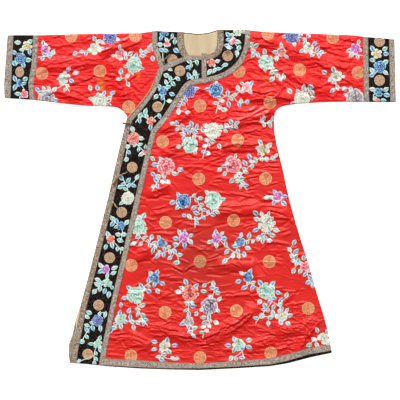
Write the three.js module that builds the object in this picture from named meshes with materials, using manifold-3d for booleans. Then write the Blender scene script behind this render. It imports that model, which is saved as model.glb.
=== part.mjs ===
// A side-fastening silk robe, laid flat on its back on a surface.
// +X is the wearer's left, +Y runs to the collar and +Z is up from the surface. The origin is on
// the surface, at the centre seam, half way down the robe. Millimetres.
//
// Every piece is a slab of cloth that follows one shared height map, so layers that lie on each
// other stay exactly parallel, and it is cut to its own outline. The map is made of flat
// triangles on a grid, which all the layers share.

import * as THREE from 'three';
import { mergeVertices } from 'three/addons/utils/BufferGeometryUtils.js';
import Module from 'manifold-3d';

const wasm = await Module();
wasm.setup();

// ---- Driving dimensions -------------------------------------------------------------------

const gap = 0.3;              // between two pieces at a seam, and between two layers
const cloth = 1.6;            // lined silk
const satin = 1.0;            // black satin bands, sewn on the silk
const ribbon = 1.2;           // woven ribbon trims
const bandRise = 0.3;         // how far a cuff's satin stands above the sleeve
const ribbonRise = 0.6;       // how far a cuff's ribbon does
const cell = 26;              // the height map's grid
const sleeveSeam = 300;       // from the centre to each sleeve's seam
const neckSide = 70;          // the neck opening ends short of this on each shoulder
const centreSeam = 8;         // the front's centre seam, at X
const underlapEdge = 96;      // the hidden underlap's free edge, at X
const innerTrimWidth = 21;
const yokeTrimWidth = 21;
const cuffTrimWidth = 21;
const centreTrimWidth = 20;
const centreTrimLap = 2;      // how far the centre trim runs over the centre seam
const bindingWidth = 4;
const past = 60;              // how far a strip runs over an end before it is cut
const clear = 900;            // past everything, for a block that cuts a piece off
const sideMitre = { x: 0.904, y: -0.427 };  // direction of the bands' mitre at the underarm

// Where the trims of the overlap, the left yoke and the centre meet.
const trimsMeet = { x: 16, y: 479 };

// The lowest points of the armholes.
const rightArmhole = { x: -sleeveSeam, y: 349 };
const leftArmhole = { x: sleeveSeam, y: 354 };

const step = cloth + gap;
const innerLevel = step;      // the right front lies on the back
const outerLevel = 2 * step;  // and the overlap lies on the right front

// Where the outer front comes down from the underlap to lie on the back, at X.
const rampStart = 5 * cell;
const rampEnd = 7 * cell;

// ---- Outlines: a row for each point of an edge ---------------------------------------------

// A smooth curve through an edge's rows, with its trim's width carried along.
function round(edge) {
  const pointsInSpan = 3;
  const curve = new THREE.SplineCurve(edge.map((row) => new THREE.Vector2(row.x, row.y)));
  const count = (edge.length - 1) * pointsInSpan;
  return Array.from({ length: count + 1 }, (_, k) => {
    const { x, y } = curve.getPoint(k / count);
    const row = edge[Math.floor(k / pointsInSpan)];
    const next = edge[Math.min(Math.floor(k / pointsInSpan) + 1, edge.length - 1)];
    const share = (k % pointsInSpan) / pointsInSpan;
    return { x, y, trim: row.trim + (next.trim - row.trim) * share };
  });
}

// Shoulder line, from the right cuff to the left cuff. The neck is cut out of it.
const shoulder = [
  { x: -790, y: 645 },
  { x: -620, y: 645 },
  { x: -484, y: 649 },
  { x: -234, y: 653 },
  { x: -172, y: 661 },
  { x: -64, y: 656 },
  { x: 68, y: 665 },
  { x: 172, y: 665 },
  { x: 265, y: 657 },
  { x: 484, y: 649 },
  { x: 590, y: 645 },
  { x: 660, y: 637 },
  { x: 790, y: 627 },
];

// Back neckline, and the edge it shares with the shoulders.
const backNeck = [
  { x: -64, y: 656 },
  { x: -4, y: 650 },
  { x: 34, y: 655 },
  { x: 68, y: 665 },
];

// Front neckline, and the trim's width beside it: from the right shoulder down to the overlap's
// edge, and from the centre up to the left shoulder.
const neckRight = round([
  { x: -64, y: 656, trim: 24 },
  { x: -62, y: 612, trim: 27 },
  { x: -54, y: 582, trim: 25 },
  { x: -43, y: 564, trim: 20 },
]);
const neckLeft = round([
  { x: centreSeam, y: 563, trim: 16 },
  { x: 42, y: 570, trim: 18 },
  { x: 62, y: 589, trim: 24 },
  { x: 68, y: 622, trim: 25 },
  { x: 68, y: 665, trim: 24 },
]);

// The overlap's free edge from the neck to the underarm, and its outer trim's width.
const overlapEdge = round([
  { x: centreSeam, y: 563, trim: 16 },
  { x: -43, y: 564, trim: 17 },
  { x: -84, y: 553, trim: 20 },
  { x: -140, y: 528, trim: 22 },
  { x: -164, y: 509, trim: 22 },
  { x: -193, y: 435, trim: 22 },
  { x: -243, y: 368, trim: 22 },
  { x: -285, y: 320, trim: 22 },
]);

// The same edge down the side, from the underarm to the hem.
const sideEdge = [
  { x: -285, y: 320, trim: 22 },
  { x: -316, y: 197, trim: 23 },
  { x: -359, y: 8, trim: 24 },
  { x: -421, y: -240, trim: 23 },
  { x: -461, y: -396, trim: 23 },
  { x: -500, y: -590, trim: 24 },
  { x: -506, y: -660, trim: 24 },
];

// Outer edge of the inner trim, from the centre to the underarm, then down the side.
const overlapInner = round([
  trimsMeet,
  { x: -31, y: 471 },
  { x: -60, y: 456 },
  { x: -87, y: 417 },
  { x: -143, y: 331 },
  { x: -190, y: 275 },
]);
const sideInner = [
  { x: -190, y: 275 },
  { x: -213, y: 185 },
  { x: -255, y: 2 },
  { x: -300, y: -197 },
  { x: -347, y: -396 },
  { x: -387, y: -595 },
  { x: -398, y: -660 },
];

// Neck-side edge of the trim round the left yoke, from the shoulder to the centre.
const leftYokeEdge = round([
  { x: 174, y: 690 },
  { x: 173, y: 612 },
  { x: 150, y: 550 },
  { x: 108, y: 510 },
  { x: 64, y: 490 },
  trimsMeet,
]);

// Sleeve-side edge of the trim round the right yoke, from the shoulder to the overlap.
const rightYokeEdge = round([
  { x: -187, y: 690 },
  { x: -186, y: 608 },
  { x: -176, y: 567 },
  { x: -152, y: 500 },
]);

// Side seam on the wearer's left, from the underarm to the hem.
const leftSide = round([
  leftArmhole,
  { x: 292, y: 340 },
  { x: 289, y: 306 },
  { x: 291, y: 262 },
  { x: 303, y: 200 },
  { x: 321, y: 130 },
  { x: 347, y: 10 },
  { x: 382, y: -115 },
  { x: 421, y: -240 },
  { x: 457, y: -365 },
  { x: 494, y: -489 },
  { x: 512, y: -586 },
]);

// Front hem from the side seam to the overlap's corner: the hem trim's width above it, and how
// far the narrow turned band shows below it.
const hem = [
  { x: 512, y: -586, trim: 25, turned: 8 },
  { x: 423, y: -601, trim: 25, turned: 12 },
  { x: 340, y: -626, trim: 25, turned: 9 },
  { x: 273, y: -640, trim: 25, turned: 6 },
  { x: 148, y: -648, trim: 23, turned: 6 },
  { x: 0, y: -655, trim: 20, turned: 6 },
  { x: -120, y: -655, trim: 24, turned: 4 },
  { x: -234, y: -651, trim: 28, turned: 4 },
  { x: -370, y: -643, trim: 28, turned: 3 },
  { x: -440, y: -637, trim: 28, turned: 1 },
  { x: -505, y: -632, trim: 28, turned: 1 },
];
const hemTrimEnd = 9;         // rows that carry the hem trim

// Underarm on the wearer's right, from the sleeve seam to the overlap's corner.
const rightUnderarm = round([
  rightArmhole,
  { x: -291, y: 339 },
  { x: -284, y: 328 },
]);

// The back's own edge on the wearer's right side, which shows past the front low down.
const backSide = [
  { x: -284, y: 328 },
  { x: -316, y: 196 },
  { x: -359, y: 6 },
  { x: -421, y: -243 },
  { x: -463, y: -396 },
  { x: -487, y: -470 },
  { x: -497, y: -521 },
  { x: -511, y: -560 },
  { x: -513, y: -600 },
  { x: -508, y: -633 },
];

// Lower edges of the sleeves, from the sleeve seam to past the cuff.
const rightSleeveLow = round([
  rightArmhole,
  { x: -320, y: 361 },
  { x: -351, y: 366 },
  { x: -437, y: 369 },
  { x: -515, y: 376 },
  { x: -640, y: 391 },
  { x: -790, y: 401 },
]);
const leftSleeveLow = round([
  leftArmhole,
  { x: 318, y: 366 },
  { x: 351, y: 373 },
  { x: 429, y: 380 },
  { x: 515, y: 384 },
  { x: 640, y: 384 },
  { x: 790, y: 383 },
]);

// Lines across each cuff, from the shoulder line to the lower edge. Both are cut a little askew.
const rightCuff = {
  sleeveEnd: [{ x: -626, y: 700 }, { x: -636, y: 532 }, { x: -649, y: 458 }, { x: -640, y: 350 }],
  bandEnd: [{ x: -724, y: 700 }, { x: -741, y: 350 }],
  cuffEdge: [
    { x: -746, y: 700 },
    { x: -755, y: 580 },
    { x: -764, y: 462 },
    { x: -763, y: 412 },
    { x: -748, y: 350 },
  ],
};
const leftCuff = {
  sleeveEnd: [{ x: 633, y: 700 }, { x: 640, y: 350 }],
  bandEnd: [{ x: 735, y: 700 }, { x: 742, y: 350 }],
  cuffEdge: [{ x: 756, y: 700 }, { x: 764, y: 350 }],
};

// ---- Folds: a ridge for each row -------------------------------------------------------------

// Ends of the ridge's crest, its reach to each side and its height. The ones marked 1 under also
// lift the right front, which lies below the overlap.
const folds = [
  { x0: 205, y0: 628, x1: 400, y1: 568, reach: 44, height: 5, under: 0 },
  { x0: 400, y0: 568, x1: 575, y1: 508, reach: 40, height: 4, under: 0 },
  { x0: 345, y0: 500, x1: 490, y1: 424, reach: 36, height: 4, under: 0 },
  { x0: 556, y0: 476, x1: 604, y1: 452, reach: 34, height: 3, under: 0 },
  { x0: 185, y0: 421, x1: 345, y1: 397, reach: 42, height: 5, under: 0 },
  { x0: 150, y0: 306, x1: 262, y1: 340, reach: 38, height: 6, under: 0 },
  { x0: 107, y0: 211, x1: 224, y1: 216, reach: 38, height: 4, under: 0 },
  { x0: -138, y0: 285, x1: -60, y1: 336, reach: 34, height: 4, under: 0 },
  { x0: -184, y0: 32, x1: -134, y1: 52, reach: 32, height: 3, under: 0 },
  { x0: -128, y0: 192, x1: -84, y1: 217, reach: 32, height: 3, under: 0 },
  { x0: 80, y0: -41, x1: 210, y1: -33, reach: 42, height: 5, under: 0 },
  { x0: 262, y0: -42, x1: 322, y1: -50, reach: 34, height: 3, under: 0 },
  { x0: 86, y0: -250, x1: 198, y1: -252, reach: 40, height: 5, under: 0 },
  { x0: 198, y0: -252, x1: 238, y1: -312, reach: 38, height: 4, under: 0 },
  { x0: -240, y0: -224, x1: -196, y1: -196, reach: 34, height: 4, under: 0 },
  { x0: 198, y0: -434, x1: 62, y1: -528, reach: 46, height: 8, under: 0 },
  { x0: 62, y0: -528, x1: -40, y1: -522, reach: 44, height: 7, under: 0 },
  { x0: -160, y0: -505, x1: -62, y1: -536, reach: 38, height: 5, under: 0 },
  { x0: 184, y0: -564, x1: 268, y1: -551, reach: 34, height: 4, under: 0 },
  { x0: -262, y0: -544, x1: -208, y1: -564, reach: 34, height: 3, under: 0 },
  { x0: 318, y0: -512, x1: 410, y1: -496, reach: 36, height: 4, under: 0 },
  { x0: 398, y0: -575, x1: 436, y1: -480, reach: 38, height: 4, under: 0 },
  { x0: -385, y0: 580, x1: -255, y1: 617, reach: 38, height: 4, under: 1 },
  { x0: -590, y0: 531, x1: -410, y1: 547, reach: 40, height: 4, under: 1 },
  { x0: -560, y0: 436, x1: -484, y1: 404, reach: 32, height: 3, under: 1 },
  { x0: -340, y0: 526, x1: -296, y1: 414, reach: 42, height: 5, under: 1 },
];

// ---- Fastenings --------------------------------------------------------------------------------

// Each is a cord from its sewn end to the knot, on the layer whose height map and stack it names.
// The knot is a ball: drop lowers it from the cord's middle where it hangs past an edge.
const cordRadius = 1.7;
const fastenings = [
  { name: 'neck', x0: -116, y0: 570, x1: -134, y1: 553, xk: -143, yk: 542, knot: 4.6, on: 'right' },
  { name: 'underarm', x0: -262, y0: 296, x1: -280, y1: 300, xk: -297, yk: 301, knot: 4.7, on: 'outer' },
  { name: 'side_upper', x0: -284, y0: 110, x1: -314, y1: 95, xk: -337, yk: 70, knot: 4.2, on: 'outer' },
  { name: 'side_lower', x0: -322, y0: -30, x1: -331, y1: -18, xk: -339, yk: -8, knot: 3.8, on: 'outer' },
];

// ---- Cloth surfaces ----------------------------------------------------------------------------

const silk = new THREE.MeshStandardMaterial({ color: 0xdc3438, roughness: 0.42, metalness: 0 });
const blackSatin = new THREE.MeshStandardMaterial({ color: 0x262324, roughness: 0.4, metalness: 0 });
const wovenRibbon = new THREE.MeshStandardMaterial({ color: 0xa79d8c, roughness: 0.75, metalness: 0 });
const creamLining = new THREE.MeshStandardMaterial({ color: 0xdbc9ac, roughness: 0.6, metalness: 0 });
const tanCord = new THREE.MeshStandardMaterial({ color: 0xa88e63, roughness: 0.7, metalness: 0 });

// How high a ridge lifts the cloth at a point: a rounded crest that falls off to its reach.
function ridgeHeight(fold, x, y) {
  const dx = fold.x1 - fold.x0;
  const dy = fold.y1 - fold.y0;
  const along = ((x - fold.x0) * dx + (y - fold.y0) * dy) / (dx * dx + dy * dy);
  const t = THREE.MathUtils.clamp(along, 0, 1);
  const away = Math.hypot(x - fold.x0 - t * dx, y - fold.y0 - t * dy) / fold.reach;
  return away < 1 ? fold.height * (0.5 + 0.5 * Math.cos(Math.PI * away)) : 0;
}

function ridges(list, x, y) {
  return list.reduce((height, fold) => Math.max(height, ridgeHeight(fold, x, y)), 0);
}

const underFolds = folds.filter((fold) => fold.under);

// Undersides of the two front layers.
const rightFrontLevel = (x, y) => innerLevel + ridges(underFolds, x, y);
function outerFrontLevel(x, y) {
  const ramp = THREE.MathUtils.clamp((x - rampStart) / (rampEnd - rampStart), 0, 1);
  return outerLevel - ramp * step + ridges(folds, x, y);
}
const level = (z) => () => z;
const raised = (surface, by) => (x, y) => surface(x, y) + by;

// ---- Outlines and cutting ------------------------------------------------------------------------

// An edge moved sideways to its left, with mitred corners. by is a number or a row's distance.
function offsetEdge(edge, by) {
  const distance = typeof by === 'number' ? () => by : by;
  return edge.map((row, i) => {
    const before = edge[Math.max(i - 1, 0)];
    const after = edge[Math.min(i + 1, edge.length - 1)];
    const into = new THREE.Vector2(row.x - before.x, row.y - before.y).normalize();
    const out = new THREE.Vector2(after.x - row.x, after.y - row.y).normalize();
    const first = i === 0 ? out : into;
    const last = i === edge.length - 1 ? into : out;
    const normal = new THREE.Vector2(-first.y - last.y, first.x + last.x).normalize();
    const mitre = normal.x * -last.y + normal.y * last.x;
    const far = distance(row) / mitre;
    return { x: row.x + normal.x * far, y: row.y + normal.y * far };
  });
}

const turnedBack = (edge) => [...edge].reverse();

// The strip between two offsets of an edge.
function strip(edge, from, to) {
  return [...offsetEdge(edge, from), ...turnedBack(offsetEdge(edge, to))];
}

// An edge run on straight past its last row, for a strip that is cut to length afterwards.
function longer(edge) {
  const a = edge.at(-2);
  const b = edge.at(-1);
  const far = past / Math.hypot(b.x - a.x, b.y - a.y);
  return [...edge.slice(0, -1), { ...b, x: b.x + (b.x - a.x) * far, y: b.y + (b.y - a.y) * far }];
}
const longerBothWays = (edge) => turnedBack(longer(turnedBack(longer(edge))));

const isAbout = (a, b) => Math.hypot(a.x - b.x, a.y - b.y) < 0.01;
const withoutRepeats = (rows) => rows.filter((row, i) => !isAbout(row, rows.at(i - 1)));

function asManifold(geometry) {
  return new wasm.Manifold(new wasm.Mesh({
    numProp: 3,
    vertProperties: geometry.attributes.position.array,
    triVerts: Uint32Array.from(geometry.index.array),
  }));
}

function toSolid(geometry) {
  geometry.deleteAttribute('normal');
  geometry.deleteAttribute('uv');
  return asManifold(mergeVertices(geometry, 1e-4));
}

// An upright block of the outline's shape.
function block(outline, low = -20, high = 60) {
  const shape = new THREE.Shape(withoutRepeats(outline).map((row) => new THREE.Vector2(row.x, row.y)));
  const geometry = new THREE.ExtrudeGeometry(shape, { depth: high - low, bevelEnabled: false });
  return toSolid(geometry.translate(0, 0, low));
}

// A slab over the outline's box, between two height maps, on the shared grid. Cells where both
// maps are level are joined along each row, and keep only the points that their neighbours need.
function slab(outline, underside, top) {
  const box = new THREE.Box2().setFromPoints(outline);
  const i0 = Math.floor(box.min.x / cell) - 1;
  const j0 = Math.floor(box.min.y / cell) - 1;
  const columns = Math.ceil(box.max.x / cell) + 2 - i0;
  const rows = Math.ceil(box.max.y / cell) + 2 - j0;
  const upper = columns * rows;
  const points = [];
  for (const surface of [underside, top]) {
    for (let j = 0; j < rows; j++) {
      for (let i = 0; i < columns; i++) {
        const x = (i0 + i) * cell;
        const y = (j0 + j) * cell;
        points.push(x, y, surface(x, y));
      }
    }
  }
  const at = (i, j) => j * columns + i;
  const height = (index) => points[3 * index + 2];
  const inGrid = (i, j) => i >= 0 && j >= 0 && i + 1 < columns && j + 1 < rows;
  const isLevel = (i, j) => [0, upper].every((layer) => (
    [at(i + 1, j), at(i, j + 1), at(i + 1, j + 1)].every((k) => (
      height(layer + k) === height(layer + at(i, j))))));
  const isKept = (i, j) => i === 0 || i === columns - 1 || (
    [[i - 1, j - 1], [i, j - 1], [i - 1, j], [i, j]].some(([u, v]) => inGrid(u, v) && !isLevel(u, v)));
  const faces = [];
  const pair = (a, b, c) => faces.push(upper + a, upper + b, upper + c, a, c, b);
  const keptAlong = (from, to, j) => {
    const found = [];
    for (let i = from; i <= to; i++) if (isKept(i, j)) found.push(at(i, j));
    return found;
  };
  const x = (index) => points[3 * index];
  const joinRun = (from, to, j) => {
    const near = keptAlong(from, to, j);
    const far = keptAlong(from, to, j + 1);
    while (near.length > 1 || far.length > 1) {
      if (far.length === 1 || (near.length > 1 && x(near[1]) <= x(far[1]))) {
        pair(near[0], near[1], far[0]);
        near.shift();
      } else {
        pair(near[0], far[1], far[0]);
        far.shift();
      }
    }
  };
  for (let j = 0; j + 1 < rows; j++) {
    let i = 0;
    while (i + 1 < columns) {
      let end = i;
      while (end + 1 < columns && isLevel(end, j)) end++;
      if (end > i) {
        joinRun(i, end, j);
        i = end;
      } else {
        pair(at(i, j), at(i + 1, j), at(i + 1, j + 1));
        pair(at(i, j), at(i + 1, j + 1), at(i, j + 1));
        i++;
      }
    }
  }
  const wall = (a, b) => faces.push(a, b, upper + b, a, upper + b, upper + a);
  const walls = (chain) => chain.slice(1).forEach((b, k) => wall(chain[k], b));
  walls(keptAlong(0, columns - 1, 0));
  walls(keptAlong(0, columns - 1, rows - 1).reverse());
  const lines = Array.from({ length: rows }, (_, j) => j);
  walls(lines.map((j) => at(columns - 1, j)));
  walls(lines.map((j) => at(0, j)).reverse());
  const geometry = new THREE.BufferGeometry();
  geometry.setAttribute('position', new THREE.Float32BufferAttribute(points, 3));
  geometry.setIndex(faces);
  return asManifold(geometry);
}

// A piece of cloth of an outline, lying at a height over a surface.
function sheet(outline, surface, above, thick) {
  return slab(outline, raised(surface, above), raised(surface, above + thick)).intersect(block(outline));
}

const robe = new THREE.Group();

function addNode(name, solid, material, at = [0, 0, 0]) {
  const { vertProperties, triVerts } = solid.getMesh();
  const geometry = new THREE.BufferGeometry();
  geometry.setAttribute('position', new THREE.BufferAttribute(new Float32Array(vertProperties), 3));
  geometry.setIndex(new THREE.BufferAttribute(new Uint32Array(triVerts), 1));
  geometry.computeVertexNormals();
  const mesh = new THREE.Mesh(geometry, material);
  mesh.name = name;
  mesh.position.set(...at);
  robe.add(mesh);
}

// ---- Panels ------------------------------------------------------------------------------------

const between = (rows, low, high) => rows.filter((row) => row.x > low && row.x < high);
const onShoulder = (x) => {
  const i = shoulder.findIndex((row) => row.x > x);
  const a = shoulder[i - 1];
  const b = shoulder[i];
  return { x, y: a.y + (b.y - a.y) * (x - a.x) / (b.x - a.x) };
};
const seam = gap / 2;

// Back: shoulders, neckline, both sides and the lowest hem that shows.
const turnedHem = offsetEdge(hem, (row) => row.turned);
const backOutline = [
  onShoulder(-sleeveSeam + seam),
  ...between(shoulder, -sleeveSeam, -neckSide),
  ...backNeck,
  ...between(shoulder, neckSide, sleeveSeam),
  onShoulder(sleeveSeam - seam),
  { x: sleeveSeam - seam, y: leftArmhole.y },
  ...leftSide.slice(1),
  ...turnedHem.slice(0, -1),
  ...turnedBack(backSide),
  ...turnedBack(rightUnderarm.slice(1)),
  { x: -sleeveSeam + seam, y: rightArmhole.y },
];
addNode('back', block(backOutline, 0, cloth), silk);

// The whole outer front, of which the left front and the overlap are the two sides.
const outerOutline = [
  ...turnedBack(overlapEdge),
  ...neckLeft.slice(1),
  ...between(shoulder, neckSide, sleeveSeam),
  onShoulder(sleeveSeam - seam),
  { x: sleeveSeam - seam, y: leftArmhole.y },
  ...leftSide.slice(1),
  ...hem.slice(0, -1),
  { x: -504, y: -632 },
  ...turnedBack(sideEdge.slice(0, -1)),
];
const outerBlock = block(outerOutline);
const outerCloth = sheet(outerOutline, outerFrontLevel, 0, cloth);
const halfPlane = (x, side) => block([
  { x: x + side * seam, y: -clear },
  { x: x + side * clear, y: -clear },
  { x: x + side * clear, y: clear },
  { x: x + side * seam, y: clear },
]);
addNode('front_left', outerCloth.intersect(halfPlane(centreSeam, 1)), silk);
addNode('front_overlap', outerCloth.intersect(halfPlane(centreSeam, -1)), silk);

// Right front: the shoulder that shows, and the underlap below the overlap.
const rightOutline = [
  onShoulder(-sleeveSeam + seam),
  ...between(shoulder, -sleeveSeam, -neckSide),
  ...neckRight,
  { x: centreSeam, y: 556 },
  { x: underlapEdge, y: 500 },
  { x: underlapEdge, y: -610 },
  { x: -440, y: -620 },
  { x: -500, y: -616 },
  { x: -458, y: -396 },
  { x: -356, y: 8 },
  ...turnedBack(rightUnderarm.slice(1)),
  { x: -sleeveSeam + seam, y: rightArmhole.y },
];
addNode('front_right', sheet(rightOutline, rightFrontLevel, 0, cloth), silk);

// Lining inside the back neck, and the narrow binding along the back neckline.
const backNeckLong = longerBothWays(backNeck);
const neckHole = block(offsetEdge([...neckRight, ...neckLeft], gap), step, step + ribbon);
const aboveBinding = block(strip(backNeckLong, past, 0));
const aboveLining = block(strip(backNeckLong, past, -bindingWidth - gap));
const binding = block(strip(backNeckLong, 0, -bindingWidth), step, step + ribbon);
addNode('neck_lining', neckHole.subtract(aboveLining), creamLining);
addNode('neck_binding', neckHole.intersect(binding).subtract(aboveBinding), tanCord);

// ---- Sleeves and cuffs: flat tubes, open at both ends ------------------------------------------

function sleeve(side, low, cuff, surface, names) {
  const s = Math.sign(low[1].x);
  const upper = s > 0 ? shoulder.filter((row) => row.x > sleeveSeam) : turnedBack(
    shoulder.filter((row) => row.x < -sleeveSeam));
  const seamTop = onShoulder(s * (sleeveSeam + seam));
  const seamLow = { x: s * (sleeveSeam + seam), y: low[0].y };
  const outline = [seamTop, ...upper, ...turnedBack(low.slice(1)), seamLow];
  const hollow = [
    { x: s * (sleeveSeam - cell), y: seamTop.y - cloth },
    ...[seamTop, ...upper].map((row) => ({ x: row.x, y: row.y - cloth })),
    ...turnedBack(low.slice(1)).map((row) => ({ x: row.x, y: row.y + cloth })),
    { x: seamLow.x, y: seamLow.y + cloth },
    { x: s * (sleeveSeam - cell), y: seamLow.y + cloth },
  ];
  const cavity = slab(hollow, level(cloth), surface).intersect(block(hollow));
  const across = (from, to) => block([...from, ...turnedBack(to)]);
  const shifted = (line, by) => line.map((row) => ({ x: row.x + s * by, y: row.y }));
  const start = [{ x: 0, y: 700 }, { x: 0, y: 350 }].map((row) => ({ x: s * sleeveSeam, y: row.y }));
  const ring = (rise, from, to) => {
    const filled = slab(outline, level(-cell), raised(surface, cloth + rise)).intersect(block(outline, 0));
    return filled.subtract(cavity).intersect(across(from, to));
  };
  addNode(`sleeve_${side}`, ring(0, start, shifted(cuff.sleeveEnd, -seam)), silk);
  addNode(names[0], ring(
    ribbonRise, shifted(cuff.sleeveEnd, seam), shifted(cuff.sleeveEnd, cuffTrimWidth - seam)), wovenRibbon);
  addNode(names[1], ring(
    bandRise, shifted(cuff.sleeveEnd, cuffTrimWidth + seam), shifted(cuff.bandEnd, -seam)), blackSatin);
  addNode(names[2], ring(ribbonRise, shifted(cuff.bandEnd, seam), cuff.cuffEdge), wovenRibbon);
}
const cuffNames = (side) => [`cuff_${side}_inner_trim`, `cuff_${side}_band`, `cuff_${side}_outer_trim`];
sleeve('right', rightSleeveLow, rightCuff, rightFrontLevel, cuffNames('right'));
sleeve('left', leftSleeveLow, leftCuff, outerFrontLevel, cuffNames('left'));

// ---- Bands and trims on the outer front ----------------------------------------------------------

const onCloth = cloth + gap;
const laidOnOuter = (outline, thick) => (
  sheet(outline, outerFrontLevel, onCloth, thick).intersect(outerBlock));

// Everything on one side of the mitre at the underarm, 0 being the overlap's side and 1 the side's.
const corner = sideEdge[0];
const mitreSide = (which) => {
  const normal = { x: sideMitre.y, y: -sideMitre.x };
  const s = which === 0 ? -1 : 1;
  const far = 1500;
  const at = (along, away) => ({
    x: corner.x + sideMitre.x * along + normal.x * s * away,
    y: corner.y + sideMitre.y * along + normal.y * s * away,
  });
  return block([at(-far, seam), at(far, seam), at(far, far), at(-far, far)]);
};
const alongOverlap = mitreSide(0);
const downSide = mitreSide(1);

const centreTrim = { from: centreSeam - centreTrimLap, to: centreSeam - centreTrimLap + centreTrimWidth };
const centreStrip = [
  { x: centreTrim.from, y: 573 },
  { x: centreTrim.to, y: 573 },
  { x: centreTrim.to, y: 482 },
  { x: centreTrim.from, y: 482 },
];
const leftOfStrip = halfPlane(centreTrim.from - seam, -1);
const rightOfStrip = halfPlane(centreTrim.to + seam, 1);
const overlapLong = longer(overlapEdge);
const sideLong = longerBothWays(sideEdge);
addNode('trim_overlap_outer', laidOnOuter(strip(overlapLong, 0, (row) => row.trim - seam), ribbon)
  .intersect(alongOverlap).intersect(leftOfStrip), wovenRibbon);
addNode('trim_side_outer', laidOnOuter(strip(sideLong, 0, (row) => row.trim - seam), ribbon)
  .intersect(downSide), wovenRibbon);

addNode('band_overlap', laidOnOuter([
  ...offsetEdge(overlapLong, (row) => row.trim + seam),
  ...turnedBack(offsetEdge(longer(overlapInner), -seam)),
], satin).intersect(alongOverlap).intersect(leftOfStrip), blackSatin);
addNode('band_side', laidOnOuter([
  ...offsetEdge(sideLong, (row) => row.trim + seam),
  ...turnedBack(offsetEdge(longerBothWays(sideInner), -seam)),
], satin).intersect(downSide), blackSatin);

addNode('trim_overlap_inner', laidOnOuter(strip(longer(overlapInner), seam, innerTrimWidth), ribbon)
  .intersect(alongOverlap).intersect(halfPlane(trimsMeet.x, -1)), wovenRibbon);
addNode('trim_side_inner', laidOnOuter(strip(longerBothWays(sideInner), seam, innerTrimWidth), ribbon)
  .intersect(downSide), wovenRibbon);

addNode('trim_centre', sheet(centreStrip, outerFrontLevel, onCloth, ribbon), wovenRibbon);

// Left yoke: the neck's trim, the satin and the trim round it.
const neckLeftLong = longer(neckLeft);
addNode('trim_neck_left', laidOnOuter([
  ...neckLeftLong,
  ...turnedBack(offsetEdge(neckLeftLong, (row) => -row.trim + seam)),
], ribbon).intersect(rightOfStrip), wovenRibbon);
addNode('yoke_left', laidOnOuter([
  ...offsetEdge(neckLeftLong, (row) => -row.trim - seam),
  ...offsetEdge(leftYokeEdge, -seam),
], satin).intersect(rightOfStrip), blackSatin);
addNode('trim_yoke_left', laidOnOuter(strip(leftYokeEdge, seam, yokeTrimWidth), ribbon)
  .intersect(halfPlane(trimsMeet.x, 1)), wovenRibbon);

// Hem: its trim on the front, and the narrow band turned under it.
const innerSideCut = block([
  ...offsetEdge(longerBothWays(sideInner), innerTrimWidth + gap),
  { x: clear, y: -clear },
  { x: clear, y: clear },
]);
const hemWithTrim = hem.slice(0, hemTrimEnd);
addNode('trim_hem', laidOnOuter(strip(longer(hemWithTrim), 0, (row) => -row.trim), ribbon)
  .intersect(innerSideCut), wovenRibbon);
addNode('hem_band', sheet(
  strip(hemWithTrim, gap, (row) => row.turned), level(step), 0, satin), blackSatin);

// ---- Bands and trims on the right front ----------------------------------------------------------

const clearOfOverlap = block([
  ...offsetEdge(overlapLong, -gap),
  { x: -clear, y: -300 },
  { x: -clear, y: clear },
  { x: centreSeam, y: clear },
]);
const rightBlock = block(rightOutline);
const laidOnRight = (outline, thick) => (
  sheet(outline, rightFrontLevel, onCloth, thick).intersect(rightBlock).intersect(clearOfOverlap));

const neckRightLong = longerBothWays(neckRight);
addNode('trim_neck_right', laidOnRight([
  ...neckRightLong,
  ...turnedBack(offsetEdge(neckRightLong, (row) => -row.trim + seam)),
], ribbon), wovenRibbon);
addNode('yoke_right', laidOnRight([
  ...offsetEdge(rightYokeEdge, yokeTrimWidth + seam),
  ...turnedBack(offsetEdge(neckRightLong, (row) => -row.trim - seam)),
], satin), blackSatin);
addNode('trim_yoke_right', laidOnRight(strip(rightYokeEdge, 0, yokeTrimWidth - seam), ribbon), wovenRibbon);

// The back's own narrow band, which shows past the front at the lower right side.
const backSideBand = [
  { x: -487, y: -472 },
  { x: -497, y: -521 },
  { x: -511, y: -560 },
  { x: -513, y: -600 },
  { x: -508, y: -631 },
  { x: -503.5, y: -631 },
  { x: -502, y: -592 },
  { x: -484, y: -493 },
];
const frontMovedOut = block(outerOutline.map((row) => ({ x: row.x - 0.5, y: row.y })));
addNode('back_side_band', sheet(backSideBand, level(step), 0, satin).subtract(frontMovedOut), blackSatin);

// ---- Fastenings ----------------------------------------------------------------------------------

const stackTop = {
  right: innerLevel + onCloth + ribbon,
  outer: outerLevel + onCloth + ribbon,
};

function cordSolid(points, radius) {
  const section = new THREE.Shape();
  section.absarc(0, 0, radius, 0, 2 * Math.PI);
  const path = new THREE.CatmullRomCurve3(points);
  return toSolid(new THREE.ExtrudeGeometry(section, {
    steps: 4, curveSegments: 4, bevelEnabled: false, extrudePath: path,
  }));
}

for (const f of fastenings) {
  const z = stackTop[f.on] + gap + cordRadius;
  const strands = [-1, 1].map((side) => {
    const across = new THREE.Vector2(-(f.y1 - f.y0), f.x1 - f.x0).setLength(side * cordRadius);
    const shift = (x, y) => new THREE.Vector3(x + across.x - f.xk, y + across.y - f.yk, 0);
    return cordSolid([shift(f.x0, f.y0), shift(f.x1, f.y1), shift(f.xk, f.yk)], cordRadius * 0.98);
  });
  const ball = toSolid(new THREE.SphereGeometry(f.knot, 10, 7));
  const lift = Math.max(f.knot - cordRadius, 0);
  const knot = ball.translate([0, 0, lift]);
  addNode(`fastening_${f.name}`, strands[0].add(strands[1]).add(knot), tanCord, [f.xk, f.yk, z]);
}

export default robe;
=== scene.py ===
"""A side-fastening embroidered silk robe, laid flat on its back.

Blender's metres, with +X to the wearer's left, +Y to the collar and +Z up. Every table below is
in millimetres, and mm turns them to metres.
"""
import math
import random

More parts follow.
